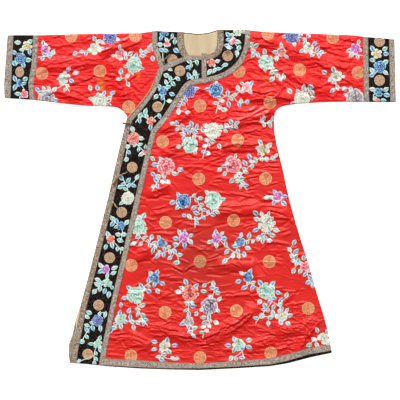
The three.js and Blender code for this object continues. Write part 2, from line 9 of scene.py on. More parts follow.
import bpy
import numpy as np
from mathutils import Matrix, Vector
from mathutils.bvhtree import BVHTree
from mathutils.geometry import delaunay_2d_cdt


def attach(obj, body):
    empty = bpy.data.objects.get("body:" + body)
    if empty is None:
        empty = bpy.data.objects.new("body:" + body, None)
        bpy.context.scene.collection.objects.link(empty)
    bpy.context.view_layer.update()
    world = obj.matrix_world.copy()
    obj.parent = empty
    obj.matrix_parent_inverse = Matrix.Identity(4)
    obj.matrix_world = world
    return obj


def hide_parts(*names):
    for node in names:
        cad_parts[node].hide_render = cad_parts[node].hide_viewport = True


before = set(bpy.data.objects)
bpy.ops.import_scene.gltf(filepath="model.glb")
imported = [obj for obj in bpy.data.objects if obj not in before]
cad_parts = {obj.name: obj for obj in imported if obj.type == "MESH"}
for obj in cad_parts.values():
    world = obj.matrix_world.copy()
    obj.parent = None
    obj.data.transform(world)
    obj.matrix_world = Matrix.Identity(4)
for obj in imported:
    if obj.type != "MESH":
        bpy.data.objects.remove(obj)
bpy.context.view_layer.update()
mm = 0.001
scene = bpy.context.scene

# ---- Camera: straight above the robe ---------------------------------------------------------------

camera_height = 8.0
view_width = 1.56
view_centre = (0.0, 0.00195)
sensor_width = 36.0

camera = bpy.data.objects.new("camera", bpy.data.cameras.new("camera"))
camera.data.sensor_width = sensor_width
camera.data.lens = sensor_width * camera_height / view_width
camera.data.clip_end = 100.0
camera.location = (*view_centre, camera_height)
scene.collection.objects.link(camera)
scene.camera = camera

# ---- Sizes -----------------------------------------------------------------------------------------

gap = 0.3                # between two layers
cloth = 1.6              # lined silk
satin = 1.0              # black satin bands
ribbon = 1.2             # woven ribbon trims
layer = cloth + gap
band_rise = 0.3          # how far a cuff's satin stands above its sleeve
ribbon_rise = 0.6        # how far a cuff's ribbon does
ramp_start, ramp_end = 130, 182   # at X, where the outer front comes down off the underlap
silk_grid = 3.0          # spacing of the points that carry the creases
sleeve_grid = 3.4
satin_grid = 4.0
back_grid = 5.0
under_grid = 12.0        # spacing on an underside, which has the folds alone
hidden_grid = 10.0       # and where another layer covers the cloth
sleeve_seam = 300        # from the centre to each sleeve's seam
centre_seam = 8          # the front's centre seam, at X
covered_below = 300      # the overlap hides the right front from here down, at Y

# ---- Folds: the ridges that the solids have, and finer creases between them ------------------------

# Ends of a ridge's crest, its reach to each side, its height, and 1 if it lifts the right front too.
# The solids' two highest ridges, above the hem, are lower here, where tucks stand on them.
folds = [
    (205, 628, 400, 568, 44, 5, 0),
    (400, 568, 575, 508, 40, 4, 0),
    (345, 500, 490, 424, 36, 4, 0),
    (556, 476, 604, 452, 34, 3, 0),
    (185, 421, 345, 397, 42, 5, 0),
    (150, 306, 262, 340, 38, 6, 0),
    (107, 211, 224, 216, 38, 4, 0),
    (-138, 285, -60, 336, 34, 4, 0),
    (-184, 32, -134, 52, 32, 3, 0),
    (-128, 192, -84, 217, 32, 3, 0),
    (80, -41, 210, -33, 42, 5, 0),
    (262, -42, 322, -50, 34, 3, 0),
    (86, -250, 198, -252, 40, 5, 0),
    (198, -252, 238, -312, 38, 4, 0),
    (-240, -224, -196, -196, 34, 4, 0),
    (198, -434, 62, -528, 46, 4, 0),
    (62, -528, -40, -522, 44, 4, 0),
    (-160, -505, -62, -536, 38, 5, 0),
    (184, -564, 268, -551, 34, 4, 0),
    (-262, -544, -208, -564, 34, 3, 0),
    (318, -512, 410, -496, 36, 4, 0),
    (398, -575, 436, -480, 38, 4, 0),
    (-385, 580, -255, 617, 38, 4, 1),
    (-590, 531, -410, 547, 40, 4, 1),
    (-560, 436, -484, 404, 32, 3, 1),
    (-340, 526, -296, 414, 42, 5, 1),
]

# Ends of a crease, its reach to each side, its height, which is negative for a trough, and how far
# its middle bows to the left of its line.
creases = [
    # left sleeve, and the fan of lines that runs from its underarm
    (190, 640, 300, 610, 12, 1.2, 6),
    (210, 600, 330, 572, 10, -0.9, 5),
    (300, 560, 400, 520, 11, 1.3, -8),
    (290, 520, 360, 470, 8, 1.4, 4),
    (305, 508, 385, 452, 7, -1.0, 4),
    (322, 500, 410, 446, 7, 1.3, 3),
    (345, 492, 430, 440, 7, -0.9, 3),
    (362, 480, 470, 420, 7, 1.2, 4),
    (300, 480, 360, 424, 8, 1.1, -5),
    (420, 500, 500, 470, 9, 1.0, 6),
    (430, 548, 560, 520, 10, -1.0, 6),
    (470, 470, 560, 452, 9, 1.1, -6),
    (500, 560, 620, 540, 9, 0.9, -4),
    (520, 430, 600, 410, 9, 1.0, 5),
    (440, 610, 560, 590, 10, 0.9, -6),
    (560, 620, 625, 596, 8, -0.8, 3),
    (590, 500, 632, 470, 8, 1.0, 0),
    (312, 501, 378, 470, 4.5, -1.3, 0),
    (350, 466, 391, 443, 4, -1.3, 2),
    (340, 459, 378, 430, 4, -1.4, 1),
    (353, 452, 383, 434, 3.5, 1.2, 0),
    (300, 490, 350, 470, 4, -1.0, 2),
    (322, 476, 364, 448, 4, 1.2, 0),
    (390, 455, 440, 425, 4.5, -1.0, 3),
    (400, 470, 460, 440, 4.5, 1.0, 3),
    (291, 484, 334, 435, 6, -2.0, 7),
    (282, 478, 326, 428, 9, 1.6, 7),
    (236, 508, 278, 452, 9, -1.2, -4),
    # left chest and underarm
    (195, 421, 245, 417, 6, -1.6, 2),
    (240, 417, 300, 400, 6, -2.0, 4),
    (296, 402, 349, 384, 6, -2.0, -3),
    (180, 440, 290, 412, 9, 1.5, -6),
    (290, 412, 350, 394, 8, 1.4, 0),
    (150, 296, 215, 312, 6, -1.5, 3),
    (210, 312, 262, 330, 6, -1.6, -2),
    (104, 202, 160, 206, 6, -1.5, 2),
    (160, 206, 226, 204, 6, -1.2, -2),
    (195, 470, 330, 452, 10, 1.2, 8),
    (180, 500, 240, 480, 9, -0.9, 5),
    (160, 455, 220, 440, 9, 1.1, -4),
    (180, 395, 300, 372, 12, 1.3, 9),
    (195, 372, 290, 352, 9, -1.0, 6),
    (205, 330, 285, 350, 9, 1.4, -5),
    (150, 282, 270, 306, 11, -1.0, 6),
    (140, 340, 230, 372, 10, 1.1, -7),
    (215, 300, 288, 290, 9, 1.0, 5),
    (120, 262, 200, 268, 10, 0.9, 4),
    (225, 240, 295, 232, 9, 0.9, -4),
    (95, 240, 200, 234, 10, 1.0, 6),
    (100, 190, 215, 188, 9, -0.9, -5),
    (230, 180, 300, 168, 9, 0.9, 4),
    # centre of the chest
    (-30, 440, 40, 410, 10, 1.0, 6),
    (-20, 410, 60, 395, 9, -0.8, -4),
    (30, 370, 110, 360, 10, 0.9, 5),
    (-60, 380, -20, 330, 9, 1.1, 5),
    (-90, 330, -40, 372, 9, 1.2, -5),
    (-120, 292, -70, 322, 8, -0.9, 4),
    (-20, 320, 60, 318, 9, 0.8, 4),
    (-10, 262, 70, 250, 9, 0.9, -5),
    (-150, 232, -90, 262, 9, 1.1, 5),
    (-160, 200, -110, 176, 9, 0.9, 4),
    (20, 200, 90, 196, 9, 0.8, 4),
    # waist
    (-190, 36, -120, 62, 9, 1.2, -5),
    (-170, 10, -110, 20, 8, -0.9, 4),
    (-180, 110, -130, 140, 9, 0.9, 5),
    (-60, 130, 40, 120, 10, 0.8, 6),
    (60, 90, 170, 92, 10, 0.9, -6),
    (190, 110, 290, 100, 10, 0.9, 5),
    (70, -18, 200, -12, 10, 1.3, -5),
    (90, -62, 230, -58, 9, -1.0, -5),
    (230, -20, 330, -30, 9, 1.1, 5),
    (250, -70, 350, -74, 9, 0.9, 5),
    (-100, -30, 10, -40, 10, 0.9, 6),
    (-60, -90, 50, -98, 10, 0.8, -5),
    (20, 30, 120, 24, 9, 0.8, 4),
    (-200, -60, -120, -50, 9, 0.9, 5),
    # skirt
    (-260, -206, -180, -176, 9, 1.2, -5),
    (-250, -246, -190, -236, 8, -0.9, 4),
    (-190, -130, -90, -140, 10, 0.9, 6),
    (-40, -180, 60, -190, 10, 0.8, -6),
    (80, -228, 200, -228, 9, 1.2, 5),
    (100, -276, 190, -280, 9, -1.0, -4),
    (220, -240, 330, -250, 10, 0.9, 5),
    (240, -160, 360, -176, 10, 0.8, 6),
    (210, -330, 330, -340, 10, 0.9, -5),
    (-180, -300, -80, -312, 10, 0.9, 6),
    (-60, -330, 40, -322, 10, 0.8, 5),
    (-280, -360, -200, -350, 9, 0.9, -4),
    (60, -380, 190, -372, 10, 0.9, 6),
    (240, -410, 380, -420, 10, 0.9, 5),
    (-120, -420, 0, -430, 10, 0.8, -5),
    (-300, -440, -200, -452, 9, 0.9, 5),
    # above the hem
    (210, -430, 100, -520, 9, 1.4, 10),
    (180, -400, 60, -480, 9, -1.0, 9),
    (50, -496, -50, -492, 9, 1.3, 6),
    (20, -556, -50, -510, 9, 1.2, 5),
    (-170, -480, -70, -510, 9, 1.2, -5),
    (-150, -530, -60, -562, 9, -1.0, 5),
    (-20, -560, 60, -566, 8, 1.1, 4),
    (-270, -520, -200, -546, 9, 1.1, 5),
    (-330, -560, -270, -530, 9, 0.9, 4),
    (90, -590, 170, -570, 9, 0.9, 4),
    (180, -590, 280, -576, 9, 1.1, -4),
    (300, -490, 410, -478, 9, 1.1, 5),
    (330, -540, 430, -530, 9, -0.9, 4),
    (380, -590, 420, -500, 9, 1.2, -6),
    (420, -540, 470, -470, 9, 1.0, 5),
    # right sleeve and shoulder
    (-390, 570, -280, 606, 10, 1.2, 6),
    (-370, 548, -270, 580, 9, -0.9, 5),
    (-600, 520, -430, 536, 10, 1.2, -6),
    (-590, 556, -440, 562, 9, -0.9, 6),
    (-600, 600, -480, 618, 10, 0.9, -5),
    (-560, 480, -440, 470, 9, 0.9, 6),
    (-565, 424, -480, 394, 8, 1.1, 5),
    (-430, 440, -350, 400, 9, 1.0, 6),
    (-350, 540, -300, 440, 8, 1.2, 7),
    (-330, 500, -290, 400, 8, -0.9, 6),
    (-300, 560, -230, 520, 10, 1.0, -6),
    (-280, 480, -220, 420, 9, 1.0, -6),
    (-260, 430, -215, 380, 8, 0.9, -5),
    (-460, 620, -380, 634, 9, 0.9, 4),
    (-620, 440, -580, 410, 8, 0.9, 3),
]

# Sharp tucks: the ends of each one's dark foot, and how strong it is. Its crest is on the collar's side.
tucks = [
    (-387, 575, -333, 600, 1), (-333, 600, -278, 622, 1), (-325, 609, -286, 621, 0.7),
    (-325, 584, -226, 618, 0.7), (-554, 530, -476, 553, 0.8), (-473, 517, -442, 523, 0.6),
    (-351, 535, -322, 551, 0.7), (-372, 487, -328, 477, 1), (-341, 473, -307, 441, 1),
    (-312, 441, -296, 397, 0.9), (-278, 462, -239, 493, 0.8), (-229, 499, -208, 478, 0.6),
    (-463, 460, -413, 483, 0.9), (-515, 444, -468, 457, 0.8), (-494, 426, -450, 402, 1),
    (-554, 400, -502, 402, 0.8), (-502, 402, -450, 384, 0.8), (-528, 616, -512, 597, 0.6),
    (242, 620, 293, 610, 1), (293, 608, 350, 584, 1), (350, 584, 393, 568, 0.8),
    (464, 597, 523, 597, 0.8), (528, 595, 566, 576, 0.8), (539, 601, 588, 630, 0.8),
    (509, 535, 574, 505, 1), (431, 554, 474, 543, 0.7), (528, 549, 566, 538, 0.7),
    (296, 478, 315, 457, 1), (315, 457, 334, 427, 1), (304, 505, 350, 478, 0.6),
    (345, 481, 382, 451, 0.6), (350, 459, 377, 430, 0.6), (369, 451, 388, 432, 0.6),
    (377, 462, 399, 446, 0.6), (393, 476, 447, 449, 0.6), (447, 449, 491, 422, 0.7),
    (472, 427, 526, 395, 0.7), (242, 412, 280, 423, 1), (282, 424, 312, 405, 1.2),
    (312, 404, 358, 386, 1.2), (242, 478, 272, 459, 0.8), (561, 465, 591, 449, 0.7),
    (469, 449, 496, 454, 0.6), (553, 422, 577, 430, 0.7), (2, 418, 27, 429, 0.8),
    (-49, 396, -13, 403, 0.6), (27, 341, 53, 301, 0.8), (-57, 327, -35, 316, 0.5),
    (60, 327, 93, 312, 0.6), (96, 349, 118, 327, 0.6), (122, 345, 173, 341, 1), (173, 341, 227, 359, 1),
    (144, 305, 198, 323, 1.2), (198, 323, 264, 356, 1.1), (216, 421, 264, 410, 1.1),
    (264, 410, 315, 387, 1.2), (74, 276, 154, 274, 0.7), (173, 258, 231, 281, 0.7),
    (82, 199, 118, 214, 1), (118, 212, 173, 212, 1.2), (173, 214, 227, 217, 1),
    (-122, 199, -75, 217, 0.9), (-155, 258, -111, 283, 0.7), (238, 276, 264, 290, 0.6),
    (176, 83, 231, 94, 0.7), (198, 54, 235, 65, 0.6), (264, 134, 311, 130, 0.6),
    (275, 57, 304, 68, 0.6), (235, 123, 289, 130, 0.5), (-190, -38, -127, -23, 0.6),
    (81, -28, 133, -12, 0.7), (75, -38, 169, -59, 0.8), (148, 24, 211, 8, 0.7), (159, 34, 221, 45, 0.6),
    (263, -41, 325, -57, 1.1), (304, -127, 351, -111, 0.6), (-112, -257, -65, -283, 1),
    (-60, -283, -18, -254, 0.9), (23, -231, 81, -210, 0.7), (23, -262, 117, -252, 0.6),
    (117, -246, 164, -272, 0.7), (221, -239, 268, -298, 0.7), (-200, -231, -174, -252, 0.6),
    (169, -111, 221, -96, 0.6), (-159, -298, -101, -293, 0.6), (-159, -505, -125, -524, 1),
    (-119, -505, -84, -514, 1.1), (-90, -527, -28, -539, 1.1), (-44, -511, -3, -533, 1),
    (-56, -555, -37, -552, 0.8), (-9, -564, 28, -561, 0.9), (16, -542, 78, -514, 1.1),
    (-265, -542, -215, -564, 0.9), (-343, -524, -296, -518, 0.7), (-94, -436, -66, -458, 0.6),
    (-159, -458, -125, -483, 0.8), (-165, -493, -109, -471, 0.7), (199, -440, 165, -464, 1.1),
    (165, -464, 124, -489, 1.2), (124, -489, 105, -505, 0.9), (105, -493, 77, -505, 0.8),
    (77, -505, 58, -533, 1), (292, -486, 314, -499, 0.9), (314, -499, 339, -511, 1),
    (271, -524, 296, -530, 0.7), (214, -553, 252, -544, 0.9), (252, -544, 274, -538, 0.8),
    (327, -552, 358, -546, 0.9), (433, -499, 414, -524, 0.7), (414, -524, 392, -574, 0.7),
    (177, -349, 202, -368, 0.6), (202, -368, 211, -396, 0.6), (358, -502, 389, -496, 0.8),
]
crest_shift, foot_shift = 5, 1
for k, (x0, y0, x1, y1, strength) in enumerate(tucks):
    bow = 3 * (k % 3 - 1)
    up = crest_shift * strength
    creases.append((x0, y0 + up, x1, y1 + up, 7 + 3 * strength, 1.3 * strength, bow))
    creases.append((x0, y0 - foot_shift, x1, y1 - foot_shift, 3.5 + 2 * strength, -1.6 * strength, bow))

# Where the small crinkles lie: centre, half sizes, their mean direction in degrees and how many.
crinkle_areas = [
    (450, 520, 190, 130, -16, 170),
    (-460, 520, 190, 130, 8, 140),
    (190, 520, 110, 140, -14, 60),
    (160, 330, 160, 120, 4, 100),
    (-60, 300, 150, 160, 28, 60),
    (60, 120, 260, 130, 0, 110),
    (60, -80, 300, 110, -2, 100),
    (60, -280, 340, 130, -6, 110),
    (60, -490, 400, 140, -10, 220),
]
crinkle_length = (16, 105, 34)       # shortest, longest and most usual
crinkle_height = (0.3, 1.3, 0.5)
crinkle_reach = (4.0, 9.5)
crinkle_spread = 22                  # how far their directions stray, in degrees
crease_scale = 1.9
deepest_trough = 1.2


def scatter_crinkles():
    dice = random.Random(11)
    rows = []
    for x, y, half_x, half_y, direction, count in crinkle_areas:
        for _ in range(count):
            cx = x + dice.uniform(-half_x, half_x)
            cy = y + dice.uniform(-half_y, half_y)
            angle = math.radians(direction + dice.gauss(0, crinkle_spread))
            half = dice.triangular(*crinkle_length) / 2
            dx, dy = half * math.cos(angle), half * math.sin(angle)
            height = dice.triangular(*crinkle_height) * dice.choice((1, 1, -1))
            rows.append((cx - dx, cy - dy, cx + dx, cy + dy,
                         dice.uniform(*crinkle_reach), height, dice.uniform(-5, 5)))
    return rows


crinkles = scatter_crinkles()


def ridge_heights(points, rows):
    """Height of the highest ridge at each point."""
    heights = np.zeros(len(points))
    for x0, y0, x1, y1, reach, height, _ in rows:
        start, line = np.array((x0, y0)), np.array((x1 - x0, y1 - y0))
        t = np.clip((points - start) @ line / (line @ line), 0, 1)
        away = np.linalg.norm(points - start - t[:, None] * line, axis=1) / reach
        bump = height * (0.5 + 0.5 * np.cos(np.pi * np.minimum(away, 1)))
        heights = np.maximum(heights, bump)
    return heights


def crease_heights(points):
    """The creases and crinkles added up at each point, each dying away at its ends."""
    total = np.zeros(len(points))
    for x0, y0, x1, y1, reach, height, bow in creases + crinkles:
        start, line = np.array((x0, y0)), np.array((x1 - x0, y1 - y0))
        length = math.hypot(*line)
        room = reach + abs(bow)
        near = ((points[:, 0] > min(x0, x1) - room) & (points[:, 0] < max(x0, x1) + room)
                & (points[:, 1] > min(y0, y1) - room) & (points[:, 1] < max(y0, y1) + room))
        offset = points[near] - start
        t = offset @ line / length ** 2
        side = (line[0] * offset[:, 1] - line[1] * offset[:, 0]) / length
        inside_ends = (t > 0) & (t < 1)
        t = np.clip(t, 0, 1)
        away = np.minimum(np.abs(side - bow * 4 * t * (1 - t)) / reach, 1)
        taper = np.sqrt(np.sin(np.pi * t)) * inside_ends
        soft, pinched = 0.5 + 0.5 * np.cos(np.pi * away), (1 - away) ** 2
        total[near] += crease_scale * height * (soft + pinched) / 2 * taper
    return np.maximum(total, -deepest_trough)


def outer_level(points):
    """Underside of the outer front and the left sleeve."""
    ramp = np.clip((points[:, 0] - ramp_start) / (ramp_end - ramp_start), 0, 1)
    return 2 * layer - ramp * layer + ridge_heights(points, folds)


def right_level(points):
    """Underside of the right front and the right sleeve's upper layer."""
    return layer + ridge_heights(points, [row for row in folds if row[-1]])


def table_level(points):
    return np.zeros(len(points))


def back_level(points):
    """Underside of what lies straight on the back."""
    return np.full(len(points), layer)


# ---- Outlines, from the solids ---------------------------------------------------------------------

table_height = 0.05      # what lies lower than this is on the table
underside_slope = -0.3   # a face whose normal's Z is below this belongs to an underside
same_spot = 0.6          # points of an outline that lie closer than this are one


def area_of(loop):
    """The area inside a loop, above 0 where it runs anticlockwise."""
    x, y = loop.T
    return 0.5 * float(np.sum(x * np.roll(y, -1) - y * np.roll(x, -1)))


def distances(chain):
    """How far along the chain each of its points lies."""
    return np.concatenate(([0], np.cumsum(np.linalg.norm(np.diff(chain, axis=0), axis=1))))


def leftwards(ahead):
    """Unit vectors to the left of directions in the plane."""
    ahead = ahead / np.linalg.norm(ahead, axis=1)[:, None]
    return np.column_stack((-ahead[:, 1], ahead[:, 0]))


def footprint(node, on_table=False):
    """A node's outline, anticlockwise, from its underside. A tube's is where it lies on the table."""
    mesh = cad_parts[node].data
    place, spots, index = {}, [], []
    for vertex in mesh.vertices:
        key = tuple(round(c / mm, 2) for c in vertex.co)
        if key not in place:
            place[key] = len(spots)
            spots.append(key)
        index.append(place[key])
    edges = set()
    for polygon in mesh.polygons:
        corners = [index[v] for v in polygon.vertices]
        if on_table and max(spots[v][2] for v in corners) > table_height:
            continue
        if polygon.normal.z < underside_slope:
            edges.update(zip(corners, corners[1:] + corners[:1]))
    following = {a: b for a, b in edges if (b, a) not in edges and a != b}
    best = []
    while following:
        first, loop = next(iter(following)), []
        at = first
        while at in following:
            loop.append(at)
            at = following.pop(at)
        if len(loop) > 2:
            ring = np.array([spots[v][:2] for v in loop])
            if not len(best) or abs(area_of(ring)) > abs(area_of(best)):
                best = ring
    kept = [best[0]]
    for spot in best[1:]:
        if np.linalg.norm(spot - kept[-1]) > same_spot:
            kept.append(spot)
    if np.linalg.norm(kept[0] - kept[-1]) < same_spot:
        kept.pop()
    loop = np.array(kept)
    return loop if area_of(loop) > 0 else loop[::-1]


def resampled(chain, spacing, closed=False):
    """The chain with points added on its long stretches."""
    rows = list(chain) + ([chain[0]] if closed else [])
    out = []
    for a, b in zip(rows, rows[1:]):
        count = max(1, math.ceil(np.linalg.norm(b - a) / spacing))
        out += [a + (b - a) * k / count for k in range(count)]
    return np.array(out if closed else out + [rows[-1]])


def inside(points, loop):
    """Which points lie inside the loop."""
    found = np.zeros(len(points), bool)
    for a, b in zip(loop, np.roll(loop, -1, axis=0)):
        if a[1] == b[1]:
            continue
        crosses = (a[1] > points[:, 1]) != (b[1] > points[:, 1])
        at = a[0] + (points[:, 1] - a[1]) / (b[1] - a[1]) * (b[0] - a[0])
        found ^= crosses & (points[:, 0] < at)
    return found


def clear_of(points, loop, distance):
    """Which points are further than that from every point of the loop."""
    keep = np.ones(len(points), bool)
    for spot in loop:
        keep &= np.hypot(points[:, 0] - spot[0], points[:, 1] - spot[1]) > distance
    return keep


def inset(loop, distance):
    """The loop moved inwards."""
    return loop + leftwards(np.roll(loop, -1, axis=0) - np.roll(loop, 1, axis=0)) * distance


def seams_closed(loop):
    """The outline with its sewn edges moved onto the seams that they share, and which points those
    are. The solids stop half a gap short of them."""
    out, sewn = loop.copy(), np.zeros(len(loop), bool)
    for seam in (-sleeve_seam, centre_seam, sleeve_seam):
        on = np.abs(out[:, 0] - seam) < 0.2
        out[on, 0] = seam
        sewn |= on
    return out, sewn


# ---- Pieces of cloth -------------------------------------------------------------------------------

edge_rounding = 1.5      # how far in from an edge its upper side starts to fall
edge_drop = 0.5
seam_drop = 0.12         # the same at a sewn edge
back_relief = 0.6        # the back is pressed flat by what lies on it
tube_wall = 1.0
fold_radius = 0.9 * layer            # of a sleeve's folded edges
ribbon_edge = (0.4, 1.6)             # how far in from a ribbon's edge it rises to its full height
ribbon_drop = (0.45, 0.12)           # and how far below that its edge and its selvedge lie
end_join = 0.9           # a ribbon's ends run on by this, up against their neighbours
shells = {}


def link(name, points, faces, materials, uv=None, lower_from=None):
    """Makes a piece from points in mm. Faces from number lower_from on take the second material."""
    mesh = bpy.data.meshes.new(name)
    mesh.from_pydata((np.asarray(points) * mm).tolist(), [], [list(map(int, f)) for f in faces])
    for material in materials:
        mesh.materials.append(material)
    if lower_from is not None:
        numbers = (np.arange(len(mesh.polygons)) >= lower_from).astype(np.int32)
        mesh.polygons.foreach_set("material_index", numbers)
    if uv is not None:
        layer_of_uv = mesh.uv_layers.new(name="weave")
        corner = np.zeros(len(mesh.loops), np.int32)
        mesh.loops.foreach_get("vertex_index", corner)
        layer_of_uv.data.foreach_set("uv", np.asarray(uv, np.float32)[corner].ravel())
    mesh.polygons.foreach_set("use_smooth", np.ones(len(mesh.polygons), bool))
    mesh.set_sharp_from_angle(angle=math.radians(50))
    mesh.update()
    piece = bpy.data.objects.new(name, mesh)
    scene.collection.objects.link(piece)
    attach(piece, "root")
    return piece


def lattice_in(loop, spacing, margin):
    """Points of a close-packed lattice inside the loop, clear of its edge."""
    low, high = loop.min(0), loop.max(0)
    spots = np.array([
        (x + (spacing / 2 if k % 2 else 0), y)
        for k, y in enumerate(np.arange(low[1], high[1], spacing * 0.866))
        for x in np.arange(low[0], high[0], spacing)
    ])
    spots = spots[inside(spots, loop)]
    return spots[clear_of(spots, loop, margin)]


def quads(number, around=False):
    """Faces between neighbours in a grid of point numbers, whose rows close on themselves with around."""
    if around:
        number = np.hstack((number, number[:, :1]))
    corners = (number[:-1, :-1], number[1:, :-1], number[1:, 1:], number[:-1, 1:])
    return np.stack(corners, axis=-1).reshape(-1, 4)


def filled(loop, extra):
    """Triangles that fill the loop, with the extra points among their corners."""
    spots, _, faces, origins, _, _ = delaunay_2d_cdt(
        np.vstack((loop, extra)).tolist(), [], [list(range(len(loop)))], 1, 1e-4)
    spots = np.array([tuple(v) for v in spots])
    number = {min(o): k for k, o in enumerate(origins) if o and min(o) < len(loop)}
    return spots, [tuple(f) for f in faces], [number[k] for k in range(len(loop))]


def panel(node, finish, level, above, thick, grid, lining=None, flipped=False,
          shown=lambda spots: np.ones(len(spots), bool)):
    """A flat piece of cloth with its node's outline, at a height over what it lies on. Its outer
    side has the creases. flipped turns that side down, as on the back."""
    outline, _ = seams_closed(footprint(node))
    loop, sewn = seams_closed(resampled(outline, min(grid, 4.0), closed=True))
    ring = inset(loop, edge_rounding)
    ring = ring[inside(ring, loop) & clear_of(ring, loop, 0.7 * edge_rounding)]
    fine = lattice_in(loop, grid, edge_rounding + 0.45 * grid)
    fine = fine[shown(fine)]
    if len(fine) < 10:
        fine = np.empty((0, 2))
    hidden = lattice_in(loop, hidden_grid, edge_rounding + 0.45 * grid)
    hidden = hidden[~shown(hidden)]
    outer, outer_faces, outer_rim = filled(loop, np.vstack((ring, fine, hidden)))
    inner, inner_faces, inner_rim = filled(loop, lattice_in(loop, under_grid, 0.45 * under_grid))
    drop = np.zeros(len(outer))
    drop[outer_rim] = np.where(sewn, seam_drop, edge_drop)
    relief = crease_heights(outer)
    if flipped:
        outer_z = level(outer) + above + np.maximum(relief, 0) * back_relief + drop
        inner_z = level(inner) + above + thick
    else:
        outer_z = level(outer) + above + thick + relief - drop
        inner_z = level(inner) + above
    points = np.vstack((np.column_stack((outer, outer_z)), np.column_stack((inner, inner_z))))
    rim = list(zip(outer_rim, outer_rim[1:] + outer_rim[:1], inner_rim, inner_rim[1:] + inner_rim[:1]))
    count = len(outer)
    if flipped:
        outside = [f[::-1] for f in outer_faces] + [(a, b, d + count, c + count) for a, b, c, d in rim]
        inside_faces = [tuple(v + count for v in f) for f in inner_faces]
    else:
        outside = outer_faces + [(b, a, c + count, d + count) for a, b, c, d in rim]
        inside_faces = [tuple(v + count for v in reversed(f)) for f in inner_faces]
    piece = link(f"{node}_cloth", points, outside + inside_faces,
                 [finish] + ([lining] if lining else []),
                 lower_from=len(outside) if lining else None)
    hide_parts(node)
    shells[node] = (points * mm, outside[:len(outer_faces)])


def four_sides(loop, along_x=False):
    """Splits a strip's outline at its four sharpest corners, into its two long sides, then its ends.
    With along_x the first pair runs along X."""
    into = loop - np.roll(loop, 1, axis=0)
    out = np.roll(loop, -1, axis=0) - loop
    turn = np.arctan2(into[:, 0] * out[:, 1] - into[:, 1] * out[:, 0], (into * out).sum(1))
    corners = sorted(np.argsort(-turn)[:4])
    chains = []
    for a, b in zip(corners, corners[1:] + corners[:1]):
        rows = loop[a:b + 1] if b > a else np.vstack((loop[a:], loop[:b + 1]))
        chains.append(rows)
    if not along_x:
        lengths = [distances(c)[-1] for c in chains]
        turned = lengths[0] + lengths[2] < lengths[1] + lengths[3]
    else:
        spans = [np.abs(c[-1] - c[0]) for c in chains]
        turned = spans[0][0] < spans[0][1]
    if turned:
        chains = chains[1:] + chains[:1]
    return chains[0], chains[2][::-1], chains[3][::-1], chains[1]


def at_share(chain, share):
    """Points of a chain at shares of its length."""
    far = distances(chain)
    return np.column_stack([np.interp(np.asarray(share) * far[-1], far, chain[:, k]) for k in (0, 1)])


def patch(sides, u, v):
    """A grid of points over the four sides, u along and v across."""
    near, far, start, end = sides
    a, b = at_share(near, u)[:, None], at_share(far, u)[:, None]
    c, d = at_share(start, v)[None], at_share(end, v)[None]
    u, v = np.asarray(u)[:, None, None], np.asarray(v)[None, :, None]
    corners = ((1 - u) * (1 - v) * near[0] + u * (1 - v) * near[-1]
               + (1 - u) * v * far[0] + u * v * far[-1])
    return (1 - v) * a + v * b + (1 - u) * c + u * d - corners


def strip(node, finish, level, above, thick, dome=0.0,
          joins=(end_join, end_join)):
    """A ribbon with its node's outline. Its map runs along it in centimetres and across from 0 to 1.
    joins is how far its lower and its upper end run on."""
    outline = footprint(node)
    sides = four_sides(outline)
    length = distances(sides[0])[-1]
    width = area_of(outline) / length
    u = np.linspace(0, 1, max(4, int(length / 3)))
    edge, inner = (far / width for far in ribbon_edge)
    v = np.array([0, edge, inner, 0.25, 0.4, 0.6, 0.75, 1 - inner, 1 - edge, 1])
    flat = patch(sides, u, v)
    for end, beside, other in ((0, 1, -1), (-1, -2, 0)):
        ahead = flat[end] - flat[beside]
        is_upper = flat[end][:, 1].mean() > flat[other][:, 1].mean()
        flat[end] += ahead / np.linalg.norm(ahead, axis=1)[:, None] * joins[is_upper]
    rows, columns = flat.shape[:2]
    spots = flat.reshape(-1, 2)
    across = np.tile(v, rows)
    along = np.repeat(u, columns) * length
    # Small puckers where it is sewn, some 20 and 45 mm long.
    pucker = 0.16 * np.sin(along / 3.1 + 5 * across) + 0.12 * np.sin(along / 7.3 + 2)
    drop = np.select([(across == 0) | (across == 1), (across < inner) | (across > 1 - inner)],
                     ribbon_drop, 0)
    base = level(spots) + above + crease_heights(spots)
    upper = base + thick + pucker * np.minimum(1, np.minimum(along, length - along) / 6) - drop
    upper += dome * np.sqrt(across * (1 - across)) * 2
    points = np.vstack((np.column_stack((spots, upper)), np.column_stack((spots, base))))
    count = len(spots)
    number = np.arange(count).reshape(rows, columns)
    tops = quads(number).tolist()
    lows = [[v + count for v in reversed(f)] for f in tops]
    rim = np.concatenate((number[:, 0], number[-1, 1:], number[-2::-1, -1], number[0, -2:0:-1]))
    walls = [[b, a, a + count, b + count] for a, b in zip(rim, np.roll(rim, -1))]
    if area_of(spots[rim]) < 0:
        tops, lows = [f[::-1] for f in tops], [f[::-1] for f in lows]
        walls = [f[::-1] for f in walls]
    uv = np.tile(np.column_stack((along / 10, across)), (2, 1))
    piece = link(f"{node}_ribbon", points, tops + walls + lows, [finish], uv=uv)
    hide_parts(node)
    shells[node] = (points * mm, tops)


